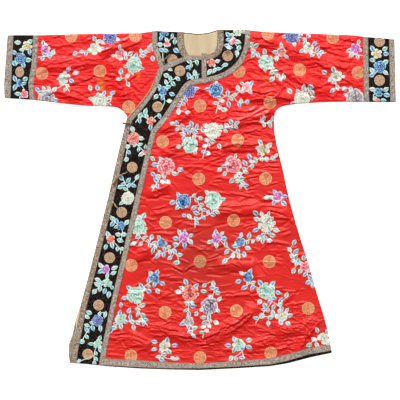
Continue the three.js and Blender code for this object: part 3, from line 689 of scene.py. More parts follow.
def tube(node, finish, level, rise, inner_finish):
    """A flattened tube of cloth, such as a sleeve, folded along its upper and lower edges."""
    on_table = footprint(node, on_table=True)
    outline, _ = seams_closed(on_table)
    sides = four_sides(outline, along_x=True)
    length = np.linalg.norm(sides[0][-1] - sides[0][0])
    width = np.linalg.norm(sides[2][-1] - sides[2][0])
    u = np.linspace(0, 1, max(3, int(length / sleeve_grid) + 1))
    bends = fold_radius * (1 - np.cos(np.radians((0, 30, 60, 90)))) / width
    middle = np.linspace(bends[-1], 1 - bends[-1], int(width / sleeve_grid))
    v = np.concatenate((bends[:-1], middle, 1 - bends[-2::-1]))
    flat = patch(sides, u, v)
    rows, columns = flat.shape[:2]
    spots = flat.reshape(-1, 2)
    fine = crease_heights(spots).reshape(rows, columns)
    high = level(spots).reshape(rows, columns) + cloth + rise
    off_edge = np.minimum(v, 1 - v) * width
    arch = np.sqrt(1 - np.clip(1 - off_edge / fold_radius, 0, 1) ** 2)
    middle_z = (layer + cloth) / 2
    upper = middle_z + (high + fine - middle_z) * arch
    lower = middle_z - (middle_z - np.maximum(-fine, 0)) * arch
    loop = np.concatenate((
        np.dstack((flat, upper)), np.dstack((flat, lower))[:, -2:0:-1]), axis=1)
    around = loop.shape[1]
    tangent = np.roll(loop, -1, axis=1) - np.roll(loop, 1, axis=1)
    normal = np.dstack((np.zeros(tangent.shape[:2]), -tangent[..., 2], tangent[..., 1]))
    normal /= np.linalg.norm(normal, axis=2)[..., None]
    centre = loop.mean(axis=1, keepdims=True)
    outwards = np.sign(((loop - centre) * normal).sum(axis=(1, 2)))[:, None, None]
    inner = loop - normal * outwards * tube_wall
    points = np.vstack((loop.reshape(-1, 3), inner.reshape(-1, 3)))
    total = rows * around
    number = np.arange(total).reshape(rows, around)
    beside = np.roll(number, -1, axis=1)
    outer_faces = quads(number, around=True)
    inner_faces = outer_faces[:, ::-1] + total
    ends = np.vstack((
        np.stack((number[0], beside[0], beside[0] + total, number[0] + total), axis=-1),
        np.stack((beside[-1], number[-1], number[-1] + total, beside[-1] + total), axis=-1)))
    first = points[outer_faces[columns // 2]]
    facing_up = np.cross(first[1] - first[0], first[2] - first[0])[2] > 0
    faces = np.vstack((outer_faces, ends, inner_faces))
    if not facing_up:
        faces = faces[:, ::-1]
    shares = np.linspace(0, 1, around, endpoint=False)
    uv = np.column_stack((
        np.tile(shares * 2 * width / 10, rows), np.repeat(u, around)))
    piece = link(f"{node}_cloth", points, faces.tolist(), [finish, inner_finish],
                 uv=np.tile(uv, (2, 1)), lower_from=len(outer_faces) + len(ends))
    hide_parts(node)
    tops = [f for f in faces[:len(outer_faces)].tolist() if max(v % around for v in f) < columns]
    shells[node] = (points * mm, tops)


# ---- Materials -------------------------------------------------------------------------------------

def linear(colour):
    """A hex sRGB colour as linear red, green, blue and alpha."""
    parts = [int(colour[k:k + 2], 16) / 255 for k in (1, 3, 5)]
    return (*(c / 12.92 if c <= 0.04045 else ((c + 0.055) / 1.055) ** 2.4 for c in parts), 1)


def add(tree, kind, sockets=None, stops=None, out=0, **settings):
    """Adds a node with its settings and gives one of its outputs. A socket's value may be a number, a
    colour or another node's output."""
    node = tree.nodes.new("ShaderNode" + kind)
    for name, value in settings.items():
        setattr(node, name, value)
    for name, value in (sockets or {}).items():
        if isinstance(value, bpy.types.NodeSocket):
            tree.links.new(value, node.inputs[name])
        else:
            node.inputs[name].default_value = value
    if stops:
        ramp = node.color_ramp.elements
        while len(ramp) < len(stops):
            ramp.new(1.0)
        for element, (place, colour) in zip(ramp, stops):
            element.position, element.color = place, linear(colour)
    return node.outputs[out]


def start_material(name):
    material = bpy.data.materials.new(name)
    material.use_nodes = True
    tree = material.node_tree
    return material, tree, tree.nodes["Principled BSDF"]


# Orange marks on the red silk: centre, then reach along and across the robe, and strength. The first two
# are old stains; the last is a faint patch left of a flower's stem.
orange_marks = [
    ((-386, 450), 40, 20, 0.8),
    ((-241, 489), 24, 12, 0.5),
    ((262, 470), 30, 20, 0.3),
]


def silk_satin():
    """Crimson silk satin: a bright, soft gloss on each slope, and a faded, duller skirt, with painted
    shade darkening its middle.
    """
    material, tree, shader = start_material("crimson_silk_satin")
    place = add(tree, "TexCoord", out="Object")
    y = add(tree, "SeparateXYZ", {0: place}, out="Y")
    skirt = add(tree, "MapRange", {"Value": y, "From Min": 0.42, "From Max": -0.1,
                                   "To Max": 0.4})
    # The skirt's middle, some 70 cm wide and 80 cm long, is the darkest: painted shade where the light
    # falls off, over the fade.
    middle = add(tree, "Mapping", {"Vector": place, "Location": (0.0, 0.22, 0.0)})
    middle = add(tree, "Mapping", {"Vector": middle, "Scale": (2.9, 2.4, 0.0)})
    middle = add(tree, "VectorMath", {0: middle}, out="Value", operation="LENGTH")
    middle = add(tree, "MapRange", {"Value": middle, "From Min": 1.0, "From Max": 0.1,
                                     "To Max": 0.85})
    # How much of the duller red each place takes: the skirt's real fade, and the painted shade of its
    # middle.
    fade_and_shade = add(tree, "Math", {0: skirt, 1: middle}, operation="MAXIMUM")
    patches = add(tree, "TexNoise", {"Vector": place, "Scale": 9.0, "Detail": 3.0})
    tone = add(tree, "ValToRGB", {"Fac": patches},
               stops=[(0.3, "#e2030b"), (0.7, "#f20711")])
    # A duller, oranger red: the skirt's real fade, and painted shade on its middle.
    worn_and_shaded_tone = add(tree, "ValToRGB", {"Fac": patches},
               stops=[(0.3, "#ac1a10"), (0.7, "#bc2818")])
    colour = add(tree, "Mix", {0: fade_and_shade, 6: tone, 7: worn_and_shaded_tone}, out=2, data_type="RGBA")
    for spot, long_way, wide_way, strength in orange_marks:
        near = add(tree, "Mapping", {"Vector": place, "Location": [-c * mm for c in (*spot, 0)]})
        near = add(tree, "Mapping", {"Vector": near, "Scale": (1000 / wide_way, 1000 / long_way, 0.0)})
        far = add(tree, "VectorMath", {0: near}, out="Value", operation="LENGTH")
        amount = add(tree, "MapRange", {"Value": far, "From Min": 1.0, "From Max": 0.2,
                                        "To Max": strength})
        colour = add(tree, "Mix", {0: amount, 6: colour, 7: linear("#e8761a")}, out=2, data_type="RGBA")
    tree.links.new(colour, shader.inputs["Base Color"])
    # Crushed folds too small for the mesh: 8 mm apart, and longer across the robe.
    stretch = add(tree, "Mapping", {"Vector": place, "Scale": (45.0, 125.0, 60.0),
                                    "Rotation": (0.0, 0.0, -0.08)})
    crush = add(tree, "TexNoise", {"Vector": stretch, "Scale": 1.0, "Detail": 3.0,
                                   "Roughness": 0.55, "Distortion": 0.5})
    # Sharp little creases, 15 mm apart.
    pinch = add(tree, "TexNoise", {"Vector": stretch, "Scale": 0.42, "Detail": 2.0, "Roughness": 0.5,
                                   "Distortion": 0.7}, noise_type="RIDGED_MULTIFRACTAL")
    # The skirt lies calmer than the chest and the hem. The ramp runs from the hem to the collar.
    up = add(tree, "MapRange", {"Value": y, "From Min": -0.66, "From Max": 0.66})
    rough = add(tree, "ValToRGB", {"Fac": up}, stops=[
        (0.12, "#ffffff"), (0.24, "#6e6e6e"), (0.52, "#7c7c7c"), (0.7, "#ffffff")])
    crush = add(tree, "Math", {0: crush, 1: rough}, operation="MULTIPLY")
    pinch = add(tree, "Math", {0: pinch, 1: rough}, operation="MULTIPLY")
    # Satin threads lie 0.3 mm apart: drawn at 1.2 mm, so that they show.
    threads = add(tree, "TexWave", {"Vector": place, "Scale": 260.0, "Distortion": 0.6},
                  bands_direction="Y")
    bump = add(tree, "Bump", {"Height": crush, "Strength": 0.8, "Distance": 0.0026})
    bump = add(tree, "Bump", {"Height": pinch, "Strength": 0.9, "Distance": 0.0026,
                              "Normal": bump})
    bump = add(tree, "Bump", {"Height": threads, "Strength": 0.06, "Distance": 0.0002,
                              "Normal": bump})
    tree.links.new(bump, shader.inputs["Normal"])
    shader.inputs["Roughness"].default_value = 0.38
    shader.inputs["Specular IOR Level"].default_value = 0.85
    shader.inputs["Specular Tint"].default_value = linear("#ffb8ae")
    return material


def black_satin():
    """Black silk satin: a soft grey gloss over near black, a little brown where it has faded."""
    material, tree, shader = start_material("black_silk_satin")
    place = add(tree, "TexCoord", out="Object")
    patches = add(tree, "TexNoise", {"Vector": place, "Scale": 30.0, "Detail": 4.0})
    colour = add(tree, "ValToRGB", {"Fac": patches},
                 stops=[(0.3, "#040202"), (0.75, "#100b0a")])
    # The brown weft shows through as specks of under 1 mm: drawn at 4 mm, so that they show.
    weft = add(tree, "TexNoise", {"Vector": place, "Scale": 240.0, "Detail": 1.0})
    weft = add(tree, "MapRange", {"Value": weft, "From Min": 0.5, "From Max": 0.72})
    colour = add(tree, "Mix", {0: weft, 6: colour, 7: linear("#43352e")}, out=2, data_type="RGBA")
    tree.links.new(colour, shader.inputs["Base Color"])
    threads = add(tree, "TexWave", {"Vector": place, "Scale": 260.0, "Distortion": 0.8},
                  bands_direction="X")
    bump = add(tree, "Bump", {"Height": threads, "Strength": 0.15, "Distance": 0.0003})
    tree.links.new(bump, shader.inputs["Normal"])
    shader.inputs["Roughness"].default_value = 0.5
    shader.inputs["Specular IOR Level"].default_value = 0.08
    return material


def woven_ribbon(name, ground, dark):
    """Jacquard ribbon: a matt grey-tan ground with small coloured flecks between two selvedges."""
    material, tree, shader = start_material(name)
    weave = add(tree, "UVMap", uv_map="weave")
    along = add(tree, "SeparateXYZ", {0: weave}, out="X")
    across = add(tree, "SeparateXYZ", {0: weave}, out="Y")
    # The ribbon is 2.1 cm wide, so this gives equal steps both ways.
    wide = add(tree, "Math", {0: across, 1: 2.1}, operation="MULTIPLY")
    spot = add(tree, "CombineXYZ", {"X": along, "Y": wide})
    # The woven figures are 2 mm across: drawn at 3 mm, so that they show.
    flecks = add(tree, "TexVoronoi", {"Vector": spot, "Scale": 3.2, "Randomness": 0.9}, out="Color")
    pick = add(tree, "SeparateXYZ", {0: flecks}, out="X")
    figure = add(tree, "ValToRGB", {"Fac": pick}, stops=[
        (0.0, ground), (0.42, "#c2b8a8"), (0.54, "#a98a80"), (0.64, dark),
        (0.8, "#8f9a7e"), (0.87, "#86869a"), (0.94, "#b39a60")])
    figure.node.color_ramp.interpolation = "CONSTANT"
    edge = add(tree, "Math", {0: across, 1: 0.5}, operation="SUBTRACT")
    edge = add(tree, "Math", {0: edge}, operation="ABSOLUTE")
    selvedge = add(tree, "ValToRGB", {"Fac": edge}, stops=[
        (0.0, "#000000"), (0.36, "#ffffff"), (0.385, "#000000"), (0.43, "#ffffff")])
    selvedge.node.color_ramp.interpolation = "CONSTANT"
    ground_line = add(tree, "ValToRGB", {"Fac": edge}, stops=[
        (0.0, ground), (0.36, dark), (0.41, "#b8b0a2"), (0.46, dark)])
    colour = add(tree, "Mix", {0: selvedge, 6: figure, 7: ground_line}, out=2, data_type="RGBA")
    tree.links.new(colour, shader.inputs["Base Color"])
    # Ribs across the ribbon: 0.4 mm on the real weave, drawn at 1 mm.
    ribs = add(tree, "TexWave", {"Vector": spot, "Scale": 3.0}, bands_direction="X")
    bump = add(tree, "Bump", {"Height": ribs, "Strength": 0.35, "Distance": 0.0003})
    bump = add(tree, "Bump", {"Height": pick, "Strength": 0.3, "Distance": 0.0003,
                              "Normal": bump})
    tree.links.new(bump, shader.inputs["Normal"])
    shader.inputs["Roughness"].default_value = 0.78
    return material


def silk_lining():
    """Plain cream silk lining: soft, almost matt, with old yellow stains in long streaks."""
    material, tree, shader = start_material("cream_silk_lining")
    place = add(tree, "TexCoord", out="Object")
    stretch = add(tree, "Mapping", {"Vector": place, "Scale": (24.0, 5.0, 20.0)})
    stains = add(tree, "TexNoise", {"Vector": stretch, "Scale": 1.0, "Detail": 4.0})
    colour = add(tree, "ValToRGB", {"Fac": stains},
                 stops=[(0.28, "#b89c70"), (0.42, "#cab48e"), (0.7, "#d4c29e")])
    tree.links.new(colour, shader.inputs["Base Color"])
    crush = add(tree, "TexNoise", {"Vector": place, "Scale": 160.0, "Detail": 3.0})
    bump = add(tree, "Bump", {"Height": crush, "Strength": 0.35, "Distance": 0.001})
    tree.links.new(bump, shader.inputs["Normal"])
    shader.inputs["Roughness"].default_value = 0.62
    return material


red_silk = silk_satin()
black = black_satin()
ribbon_grey = woven_ribbon("jacquard_ribbon_grey", "#a4968a", "#6c5f52")
ribbon_brown = woven_ribbon("jacquard_ribbon_brown", "#987f6a", "#5f4f3e")
lining = silk_lining()

def piping_material():
    """Old gold piping at the neck: a dull gloss, darker where it is rubbed."""
    material, tree, shader = start_material("olive_silk_piping")
    place = add(tree, "TexCoord", out="Object")
    rubbed = add(tree, "TexNoise", {"Vector": place, "Scale": 70.0, "Detail": 3.0})
    colour = add(tree, "ValToRGB", {"Fac": rubbed}, stops=[(0.35, "#3c3010"), (0.7, "#84702a")])
    tree.links.new(colour, shader.inputs["Base Color"])
    shader.inputs["Roughness"].default_value = 0.5
    return material


piping = piping_material()

# ---- The robe's cloth ------------------------------------------------------------------------------

panel("back", red_silk, table_level, 0, cloth, back_grid, lining, flipped=True)
panel("front_right", red_silk, right_level, 0, cloth, silk_grid, lining,
      shown=lambda spots: spots[:, 1] > covered_below)
panel("front_overlap", red_silk, outer_level, 0, cloth, silk_grid, lining)
panel("front_left", red_silk, outer_level, 0, cloth, silk_grid, lining)
panel("neck_lining", lining, back_level, 0, ribbon, satin_grid)

for node, level_of in (("band_overlap", outer_level), ("band_side", outer_level),
                       ("yoke_left", outer_level), ("yoke_right", right_level)):
    panel(node, black, level_of, layer, satin, satin_grid)

carried_by = {"trim_hem": ["front_left", "front_overlap"]}
for side in ("left", "right"):
    carried_by[f"trim_neck_{side}"] = carried_by[f"trim_yoke_{side}"] = [f"front_{side}"]
for node, level_of, above, finish in (
        ("trim_overlap_outer", outer_level, layer, ribbon_grey),
        ("trim_side_outer", outer_level, layer, ribbon_brown),
        ("trim_overlap_inner", outer_level, layer, ribbon_grey),
        ("trim_side_inner", outer_level, layer, ribbon_grey),
        ("trim_centre", outer_level, layer, ribbon_grey),
        ("trim_neck_left", outer_level, layer, ribbon_brown),
        ("trim_yoke_left", outer_level, layer, ribbon_grey),
        ("trim_hem", outer_level, layer, ribbon_grey),
        ("trim_neck_right", right_level, layer, ribbon_brown),
        ("trim_yoke_right", right_level, layer, ribbon_grey)):
    strip(node, finish, level_of, above, ribbon,
          joins={"trim_centre": (3.8, 0.9), "trim_overlap_inner": (0.9, 2.2),
                 "trim_yoke_left": (2.2, 0.9)}.get(node, (end_join, end_join)))
strip("hem_band", black, back_level, 0, satin)
strip("back_side_band", ribbon_brown, back_level, 0, satin)

strip("neck_binding", piping, back_level, 0, ribbon, dome=0.7)
for side, level_of in (("right", right_level), ("left", outer_level)):
    tube(f"sleeve_{side}", red_silk, level_of, 0, lining)
    tube(f"cuff_{side}_inner_trim", ribbon_grey, level_of, ribbon_rise, lining)
    tube(f"cuff_{side}_band", black, level_of, band_rise, lining)
    tube(f"cuff_{side}_outer_trim", ribbon_grey, level_of, ribbon_rise, lining)

# ---- Embroidery: where each flower, leaf, stem and roundel lies ------------------------------------

# Flowers on the red silk and on the black satin: their centre, kind, radius and thread colours.
silk_flowers = [
    (-603, 591, "plum", 20, "purple"), (-412, 591, "plum", 26, "white"),
    (-350, 635, "peony", 27, "violet"), (-529, 479, "plum", 24, "white"),
    (-598, 396, "peony", 35, "grey"), (-390, 389, "mum", 31, "white"),
    (-310, 568, "plum", 24, "pink"), (-196, 590, "plum", 14, "pink"),
    (-257, 528, "peony", 31, "mint"), (-44, 426, "peony", 27, "violet"),
    (-72, 286, "plum", 12, "pink"), (-38, 217, "peony", 32, "mint"),
    (-133, 131, "peony", 34, "rose"), (-65, -3, "peony", 30, "blue"),
    (-240, -103, "peony", 33, "mint"), (-148, -166, "plum", 22, "blue"),
    (-62, -147, "plum", 24, "purple"), (-253, -369, "peony", 34, "mint"),
    (-179, -304, "plum", 22, "blue"), (-310, -463, "plum", 25, "mint"),
    (-39, -361, "peony", 33, "coral"), (-44, -470, "plum", 22, "grey"),
    (-138, -567, "plum", 25, "white"), (62, 431, "peony", 29, "blue"),
    (182, 441, "plum", 20, "pink"), (51, 272, "mum", 33, "white"),
    (259, 538, "peony", 30, "mint"), (318, 578, "plum", 20, "pink"),
    (358, 640, "peony", 27, "violet"), (423, 593, "plum", 22, "white"),
    (607, 593, "plum", 23, "purple"), (532, 486, "plum", 23, "white"),
    (398, 396, "mum", 32, "white"), (604, 401, "peony", 35, "grey"),
    (130, 140, "peony", 34, "rose"), (250, 198, "plum", 24, "cream"),
    (52, 2, "peony", 35, "mint"), (303, 16, "plum", 23, "purple"),
    (259, -88, "peony", 34, "white"), (155, -163, "plum", 22, "blue"),
    (65, -145, "plum", 24, "purple"), (413, -257, "plum", 21, "rose"),
    (259, -354, "peony", 34, "mint"), (187, -298, "plum", 22, "blue"),
    (319, -450, "plum", 26, "white"), (37, -411, "peony", 33, "dusk"),
    (152, -560, "plum", 25, "mint"), (484, -536, "plum", 25, "white"),
]
satin_flowers = [
    (-675, 603, "plum", 20, "cream"), (-698, 553, "peony", 23, "blue"),
    (-703, 458, "bud", 14, "blue"), (-686, 416, "plum", 17, "rose"),
    (-140, 653, "plum", 16, "blue"), (-128, 610, "bud", 14, "pink"),
    (-143, 426, "plum", 19, "blue"), (-192, 310, "plum", 18, "coral"),
    (-259, 241, "peony", 25, "coral"), (-214, 189, "bud", 14, "pink"),
    (-281, 10, "mum", 26, "white"), (-307, -99, "plum", 18, "blue"),
    (-347, -150, "plum", 20, "coral"), (-367, -269, "plum", 18, "purple"),
    (-360, -322, "plum", 19, "mint"), (-399, -468, "peony", 22, "violet"),
    (-399, -560, "plum", 19, "mint"), (148, 655, "plum", 18, "white"),
    (130, 620, "bud", 15, "pink"), (45, 536, "plum", 18, "coral"),
    (689, 571, "plum", 21, "cream"), (701, 521, "peony", 24, "blue"),
    (697, 421, "plum", 18, "blue"), (689, 386, "plum", 16, "coral"),
]

# Centres of the leaves. Each points away from the stem or flower that is nearest to it.
silk_leaves = [
    (-572, 578), (-586, 564), (-488, 572), (-462, 580), (-412, 632), (-396, 620), (-432, 584),
    (-512, 512), (-482, 498), (-546, 474), (-500, 466), (-566, 434), (-428, 440), (-400, 440),
    (-340, 420), (-356, 400), (-352, 368), (-250, 564), (-188, 604), (-184, 552), (-308, 504),
    (-284, 484), (-280, 452), (-316, 474), (-84, 348), (-48, 344), (-108, 300), (-34, 300),
    (-68, 260), (-84, 210), (-178, 140), (-186, 164), (-76, 120), (-98, 104), (-184, 104),
    (-172, 80), (-144, 72), (-124, 72), (200, 608), (220, 604), (206, 584), (206, 566), (226, 568),
    (252, 580), (292, 578), (298, 552), (254, 512), (280, 498), (306, 484), (326, 484), (280, 472),
    (408, 628), (424, 644), (448, 612), (458, 592), (438, 568), (464, 566), (580, 584), (590, 568),
    (484, 500), (520, 512), (508, 472), (536, 440), (516, 428), (562, 436), (588, 434), (348, 428),
    (404, 440), (430, 444), (438, 420), (438, 400), (360, 376), (30, 434), (64, 456), (108, 420),
    (134, 412), (148, 440), (200, 456), (196, 424), (160, 388), (184, 384), (88, 388), (96, 354),
    (112, 374), (22, 292), (10, 276), (24, 236), (50, 230), (76, 210), (32, 184), (120, 308),
    (144, 302), (104, 292), (240, 312), (248, 322), (272, 304), (274, 292), (286, 320), (234, 228),
    (226, 204), (272, 216), (232, 184), (192, 172), (216, 158), (174, 148), (260, 160), (286, 164),
    (76, 120), (96, 104), (180, 110), (122, 76), (144, 76), (164, 86), (260, 12), (292, 32),
    (332, 16), (-218, -58), (-238, -64), (-224, -84), (-216, -124), (-188, -142), (-244, -142),
    (-260, -168), (-232, -170), (-184, -196), (-166, -216), (-98, -200), (-92, -242), (-118, -224),
    (-96, -148), (-96, -172), (-60, -176), (-36, -162), (-60, -124), (-108, -8), (-26, -30),
    (-16, -48), (-40, -64), (-14, -72), (-278, -340), (-230, -332), (-296, -380), (-308, -406),
    (-224, -408), (-244, -424), (-276, -428), (-192, -284), (-146, -324), (-178, -328),
    (-164, -354), (-198, -354), (-336, -496), (-308, -492), (-290, -472), (-264, -472),
    (-272, -452), (-228, -466), (-258, -496), (-312, -438), (-56, -316), (-14, -332), (-86, -356),
    (-52, -400), (-26, -412), (-68, -480), (-44, -446), (-14, -440), (-44, -492), (-20, -496),
    (-180, -550), (-128, -544), (-98, -564), (-180, -580), (-120, -590), (-148, -620),
    (-104, -616), (216, -48), (240, -52), (220, -72), (298, -116), (284, -136), (272, -156),
    (244, -160), (228, -148), (216, -116), (192, -136), (188, -186), (172, -208), (104, -200),
    (128, -216), (96, -236), (62, -124), (36, -162), (96, -148), (100, -170), (64, -176),
    (348, -190), (368, -162), (376, -196), (358, -216), (404, -222), (376, -248), (364, -276),
    (390, -276), (420, -320), (440, -332), (288, -8), (328, -12), (196, -276), (148, -316),
    (172, -340), (204, -340), (234, -320), (284, -324), (306, -360), (338, -368), (316, -388),
    (232, -396), (252, -408), (240, -446), (286, -416), (318, -420), (352, -448), (344, -480),
    (316, -476), (274, -456), (240, -452), (266, -480), (284, -436), (16, -332), (52, -324),
    (16, -354), (48, -340), (70, -360), (40, -374), (76, -384), (36, -452), (12, -456), (64, -476),
    (36, -488), (108, -564), (134, -540), (192, -544), (192, -572), (132, -584), (164, -578),
    (162, -612), (120, -616), (456, -504), (444, -540), (424, -564), (456, -564),
]
satin_leaves = [
    (-158, 608), (-152, 588), (-132, 584), (-98, 618), (-92, 584), (-118, 512), (-132, 488),
    (-44, 544), (-12, 538), (-44, 488), (-20, 498), (-104, 454), (-86, 474), (-172, 404),
    (-108, 414), (-118, 388), (-212, 348), (-232, 332), (-158, 328), (-264, 280), (-228, 242),
    (-284, 210), (-288, 160), (-230, 180), (-308, 90), (-278, 80), (-244, 92), (-312, 52),
    (108, 648), (104, 604), (116, 596), (148, 618), (152, 596), (144, 572), (96, 528), (56, 506),
    (36, 500), (-342, -70), (-342, -92), (-284, -84), (-296, -132), (-320, -132), (-360, -130),
    (-310, -156), (-368, -182), (-342, -176), (-388, -252), (-332, -262), (-388, -276),
    (-336, -282), (-400, -308), (-402, -326), (-412, -356), (-372, -354), (-356, -368),
    (-434, -436), (-442, -452), (-370, -446), (-442, -486), (-442, -504), (-388, -500),
    (-462, -550), (-412, -636), (-476, -628),
    (-712, 616), (-662, 620), (-664, 578), (-726, 578), (-668, 548), (-724, 536), (-688, 526),
    (-722, 476), (-680, 474), (-722, 440), (-666, 436), (-712, 416), (-700, 396), (671, 594),
    (722, 592), (726, 572), (671, 548), (724, 540), (670, 508), (724, 498), (668, 488), (671, 434),
    (726, 434), (730, 411), (682, 398), (716, 390),
]

# Stems, each a row of points.
silk_stems = [
    [(-600, 584), (-572, 568), (-632, 558)],
    [(-414, 590), (-436, 584), (-488, 572)],
    [(-414, 590), (-396, 618), (-352, 632)],
    [(-526, 480), (-526, 454), (-508, 424)],
    [(-526, 454), (-566, 434), (-632, 424), (-606, 408)],
    [(-390, 388), (-352, 384), (-342, 420)],
    [(-310, 568), (-252, 558), (-258, 532)],
    [(-258, 532), (-218, 584), (-186, 592)],
    [(-258, 532), (-284, 484), (-308, 474)],
    [(-44, 426), (-68, 388), (-84, 348), (-84, 334)],
    [(-68, 288), (-94, 294), (-112, 300)],
    [(-68, 288), (-64, 260), (-40, 220)],
    [(-104, 294), (-68, 284), (-36, 270), (-8, 278), (20, 268)],
    [(-36, 270), (-14, 252), (8, 250)],
    [(-132, 130), (-164, 76), (-186, 36)],
    [(-132, 130), (-94, 104), (-68, 130)],
    [(260, 544), (298, 558), (318, 580)],
    [(260, 544), (280, 504), (308, 480), (332, 480)],
    [(196, 604), (214, 572), (260, 544)],
    [(358, 640), (408, 628), (420, 592)],
    [(420, 592), (458, 572), (492, 576)],
    [(608, 592), (596, 572), (640, 564)],
    [(530, 484), (530, 454), (536, 440), (588, 434), (604, 400)],
    [(398, 400), (424, 424), (438, 440)],
    [(62, 434), (100, 408), (134, 412), (176, 440)],
    [(124, 414), (148, 384), (184, 384)],
    [(100, 408), (76, 388), (62, 340)],
    [(52, 272), (30, 224), (10, 164)],
    [(52, 272), (100, 284), (154, 302)],
    [(228, 308), (264, 302), (292, 316)],
    [(248, 196), (244, 176), (200, 140), (154, 86), (184, 40)],
    [(130, 138), (148, 96), (154, 86)],
    [(244, 164), (268, 160), (296, 168)],
    [(306, 16), (280, 6), (254, 12)],
    [(-240, -100), (-232, -142), (-184, -172), (-152, -168)],
    [(-240, -100), (-228, -72), (-218, -52)],
    [(-152, -168), (-112, -192), (-64, -148)],
    [(-112, -192), (-164, -212), (-184, -228)],
    [(-112, -192), (-88, -216), (-84, -248)],
    [(-38, 14), (-13, 9), (-5, -12), (8, -38), (3, -70), (-18, -75), (-19, -106)],
    [(-18, -75), (34, -54), (75, -28)],
    [(-18, -75), (-52, -62)],
    [(-254, -372), (-218, -336), (-180, -308)],
    [(-254, -372), (-232, -446), (-204, -488)],
    [(-310, -466), (-272, -472), (-228, -466)],
    [(-310, -466), (-332, -496), (-348, -516)],
    [(-40, -360), (-44, -412), (-44, -472)],
    [(-44, -472), (-28, -500), (-34, -524)],
    [(-138, -568), (-148, -596), (-160, -620)],
    [(-152, -600), (-128, -616), (-98, -616)],
    [(260, -88), (248, -142), (200, -152), (156, -162)],
    [(156, -162), (136, -202), (104, -232)],
    [(64, -142), (100, -176), (136, -202), (172, -212)],
    [(416, -262), (378, -242), (348, -190)],
    [(416, -262), (424, -306), (444, -336)],
    [(188, -296), (200, -326), (260, -356)],
    [(260, -356), (280, -392), (240, -446), (216, -478)],
    [(280, -392), (318, -420)],
    [(318, -448), (280, -452), (240, -452)],
    [(36, -408), (30, -456), (10, -536)],
    [(36, -408), (56, -346), (44, -316)],
    [(148, -560), (164, -590), (172, -616)],
    [(164, -590), (134, -610), (114, -616)],
    [(484, -540), (448, -544), (424, -564)],
]
satin_stems = [
    [(-128, 610), (-144, 584), (-144, 544)],
    [(-128, 610), (-112, 632), (-92, 632)],
    [(-8, 546), (-34, 536), (-40, 508)],
    [(-2, 492), (-26, 488), (-50, 472)],
    [(-144, 426), (-118, 464), (-84, 480)],
    [(-144, 426), (-138, 384), (-152, 354)],
    [(-192, 310), (-228, 328), (-252, 304)],
    [(-192, 310), (-172, 328), (-158, 334)],
    [(-260, 240), (-244, 216), (-214, 188)],
    [(-260, 240), (-284, 196), (-290, 150)],
    [(-280, 10), (-284, 52), (-302, 86)],
    [(-284, 52), (-258, 72), (-244, 92)],
    [(148, 656), (120, 628), (108, 598)],
    [(130, 620), (148, 592), (142, 558)],
    [(44, 536), (70, 508), (100, 528)],
    [(-308, -100), (-332, -84), (-348, -58)],
    [(-308, -100), (-302, -128), (-312, -162)],
    [(-348, -150), (-312, -188), (-310, -208)],
    [(-368, -268), (-356, -296), (-382, -316)],
    [(-360, -320), (-392, -336), (-412, -360)],
    [(-400, -468), (-432, -500), (-462, -550)],
    [(-400, -468), (-388, -440), (-370, -436)],
    [(-400, -560), (-412, -596), (-412, -636)],
    [(-412, -604), (-452, -620), (-482, -630)],
    [(-675, 603), (-690, 580), (-698, 553), (-716, 528)],
    [(-703, 458), (-688, 438), (-686, 416)],
    [(689, 571), (676, 546), (701, 521), (680, 492)],
    [(697, 421), (676, 410), (689, 386)],
]

# Centres of the gold roundels.
silk_roundels = [
    (-502, 642), (-252, 642), (-616, 495), (-390, 504), (-278, 365), (-146, 229), (0, 369),
    (-5, 84), (-134, -86), (-268, -253), (0, -238), (-136, -436), (-269, -606), (0, -612),
    (152, 503), (388, 509), (616, 498), (265, 649), (518, 635), (273, 381), (147, 235), (256, 85),
    (131, -79), (270, -238), (142, -430), (422, -421), (276, -595), (388, -80),
]
satin_roundels = [
    (-703, 501), (-107, 548), (-78, 505), (-165, 365), (-264, 129), (-305, -46), (-352, -223),
    (-395, -408), (-437, -599), (108, 564), (700, 620), (700, 468),
]
silk_roundel_radius = 25
satin_roundel_radius = 21
narrow_roundel = (-703, 501)
# The roundel in the skirt's middle is painted darker: painted shade, as on the silk around it.
shaded_roundel = (0, -238)

# Thread colours, from the heart of a petal to its rim.
threads = {
    "blue": ("#063c88", "#0c86cc", "#c8f0f6"),
    "violet": ("#503088", "#2c64c4", "#c8e2f4"),
    "rose": ("#dc1434", "#fc8490", "#fff8f4"),
    "pink": ("#ee4468", "#fcacac", "#fffaf4"),
    "coral": ("#dc2c28", "#fc8472", "#fff0e4"),
    "purple": ("#a81c9c", "#e074d8", "#fff4fa"),
    "mint": ("#86bea8", "#c2e8d4", "#f8fef4"),
    "white": ("#b8bcaa", "#ecebd8", "#fffdf2"),
    "cream": ("#b4a268", "#efe4c0", "#fffaea"),
    "grey": ("#857688", "#c8bcc0", "#f6f0ea"),
    "dusk": ("#5a4664", "#b49cb2", "#fcf6f4"),
}
leaf_threads = [
    ("#0a94c4", "#3cc0d8", "#dcf2ec"),
    ("#0a86cc", "#44bce4", "#dceef0"),
    ("#14a4a4", "#70d0c4", "#e2f2e4"),
    ("#4cacb8", "#a4dcd4", "#e8f6ea"),
    ("#7cc4c4", "#c8ece2", "#eaf6ec"),
]
stem_threads = ("#b4dccf", "#e4f6ec", "#fbfff6")
gold_threads = {"silk": ("#dc7a4a", "#fcb484"), "satin": ("#a07a54", "#e0bf9c")}

# ---- Embroidery: how the thread lies ---------------------------------------------------------------

stitch_foot = 0.2        # how far a patch's edge stands over the cloth
stitch_dome = 0.45       # and its middle over its edge
ribbon_cover = 1.0       # how far below a ribbon's top a patch that runs under it stays

carriers = {
    "silk": ["front_left", "front_overlap", "front_right", "sleeve_left", "sleeve_right"],
    "satin": ["band_overlap", "band_side", "yoke_left", "yoke_right",
              "cuff_left_band", "cuff_right_band"],
    "ribbon": [node for node in shells if "trim" in node],
}


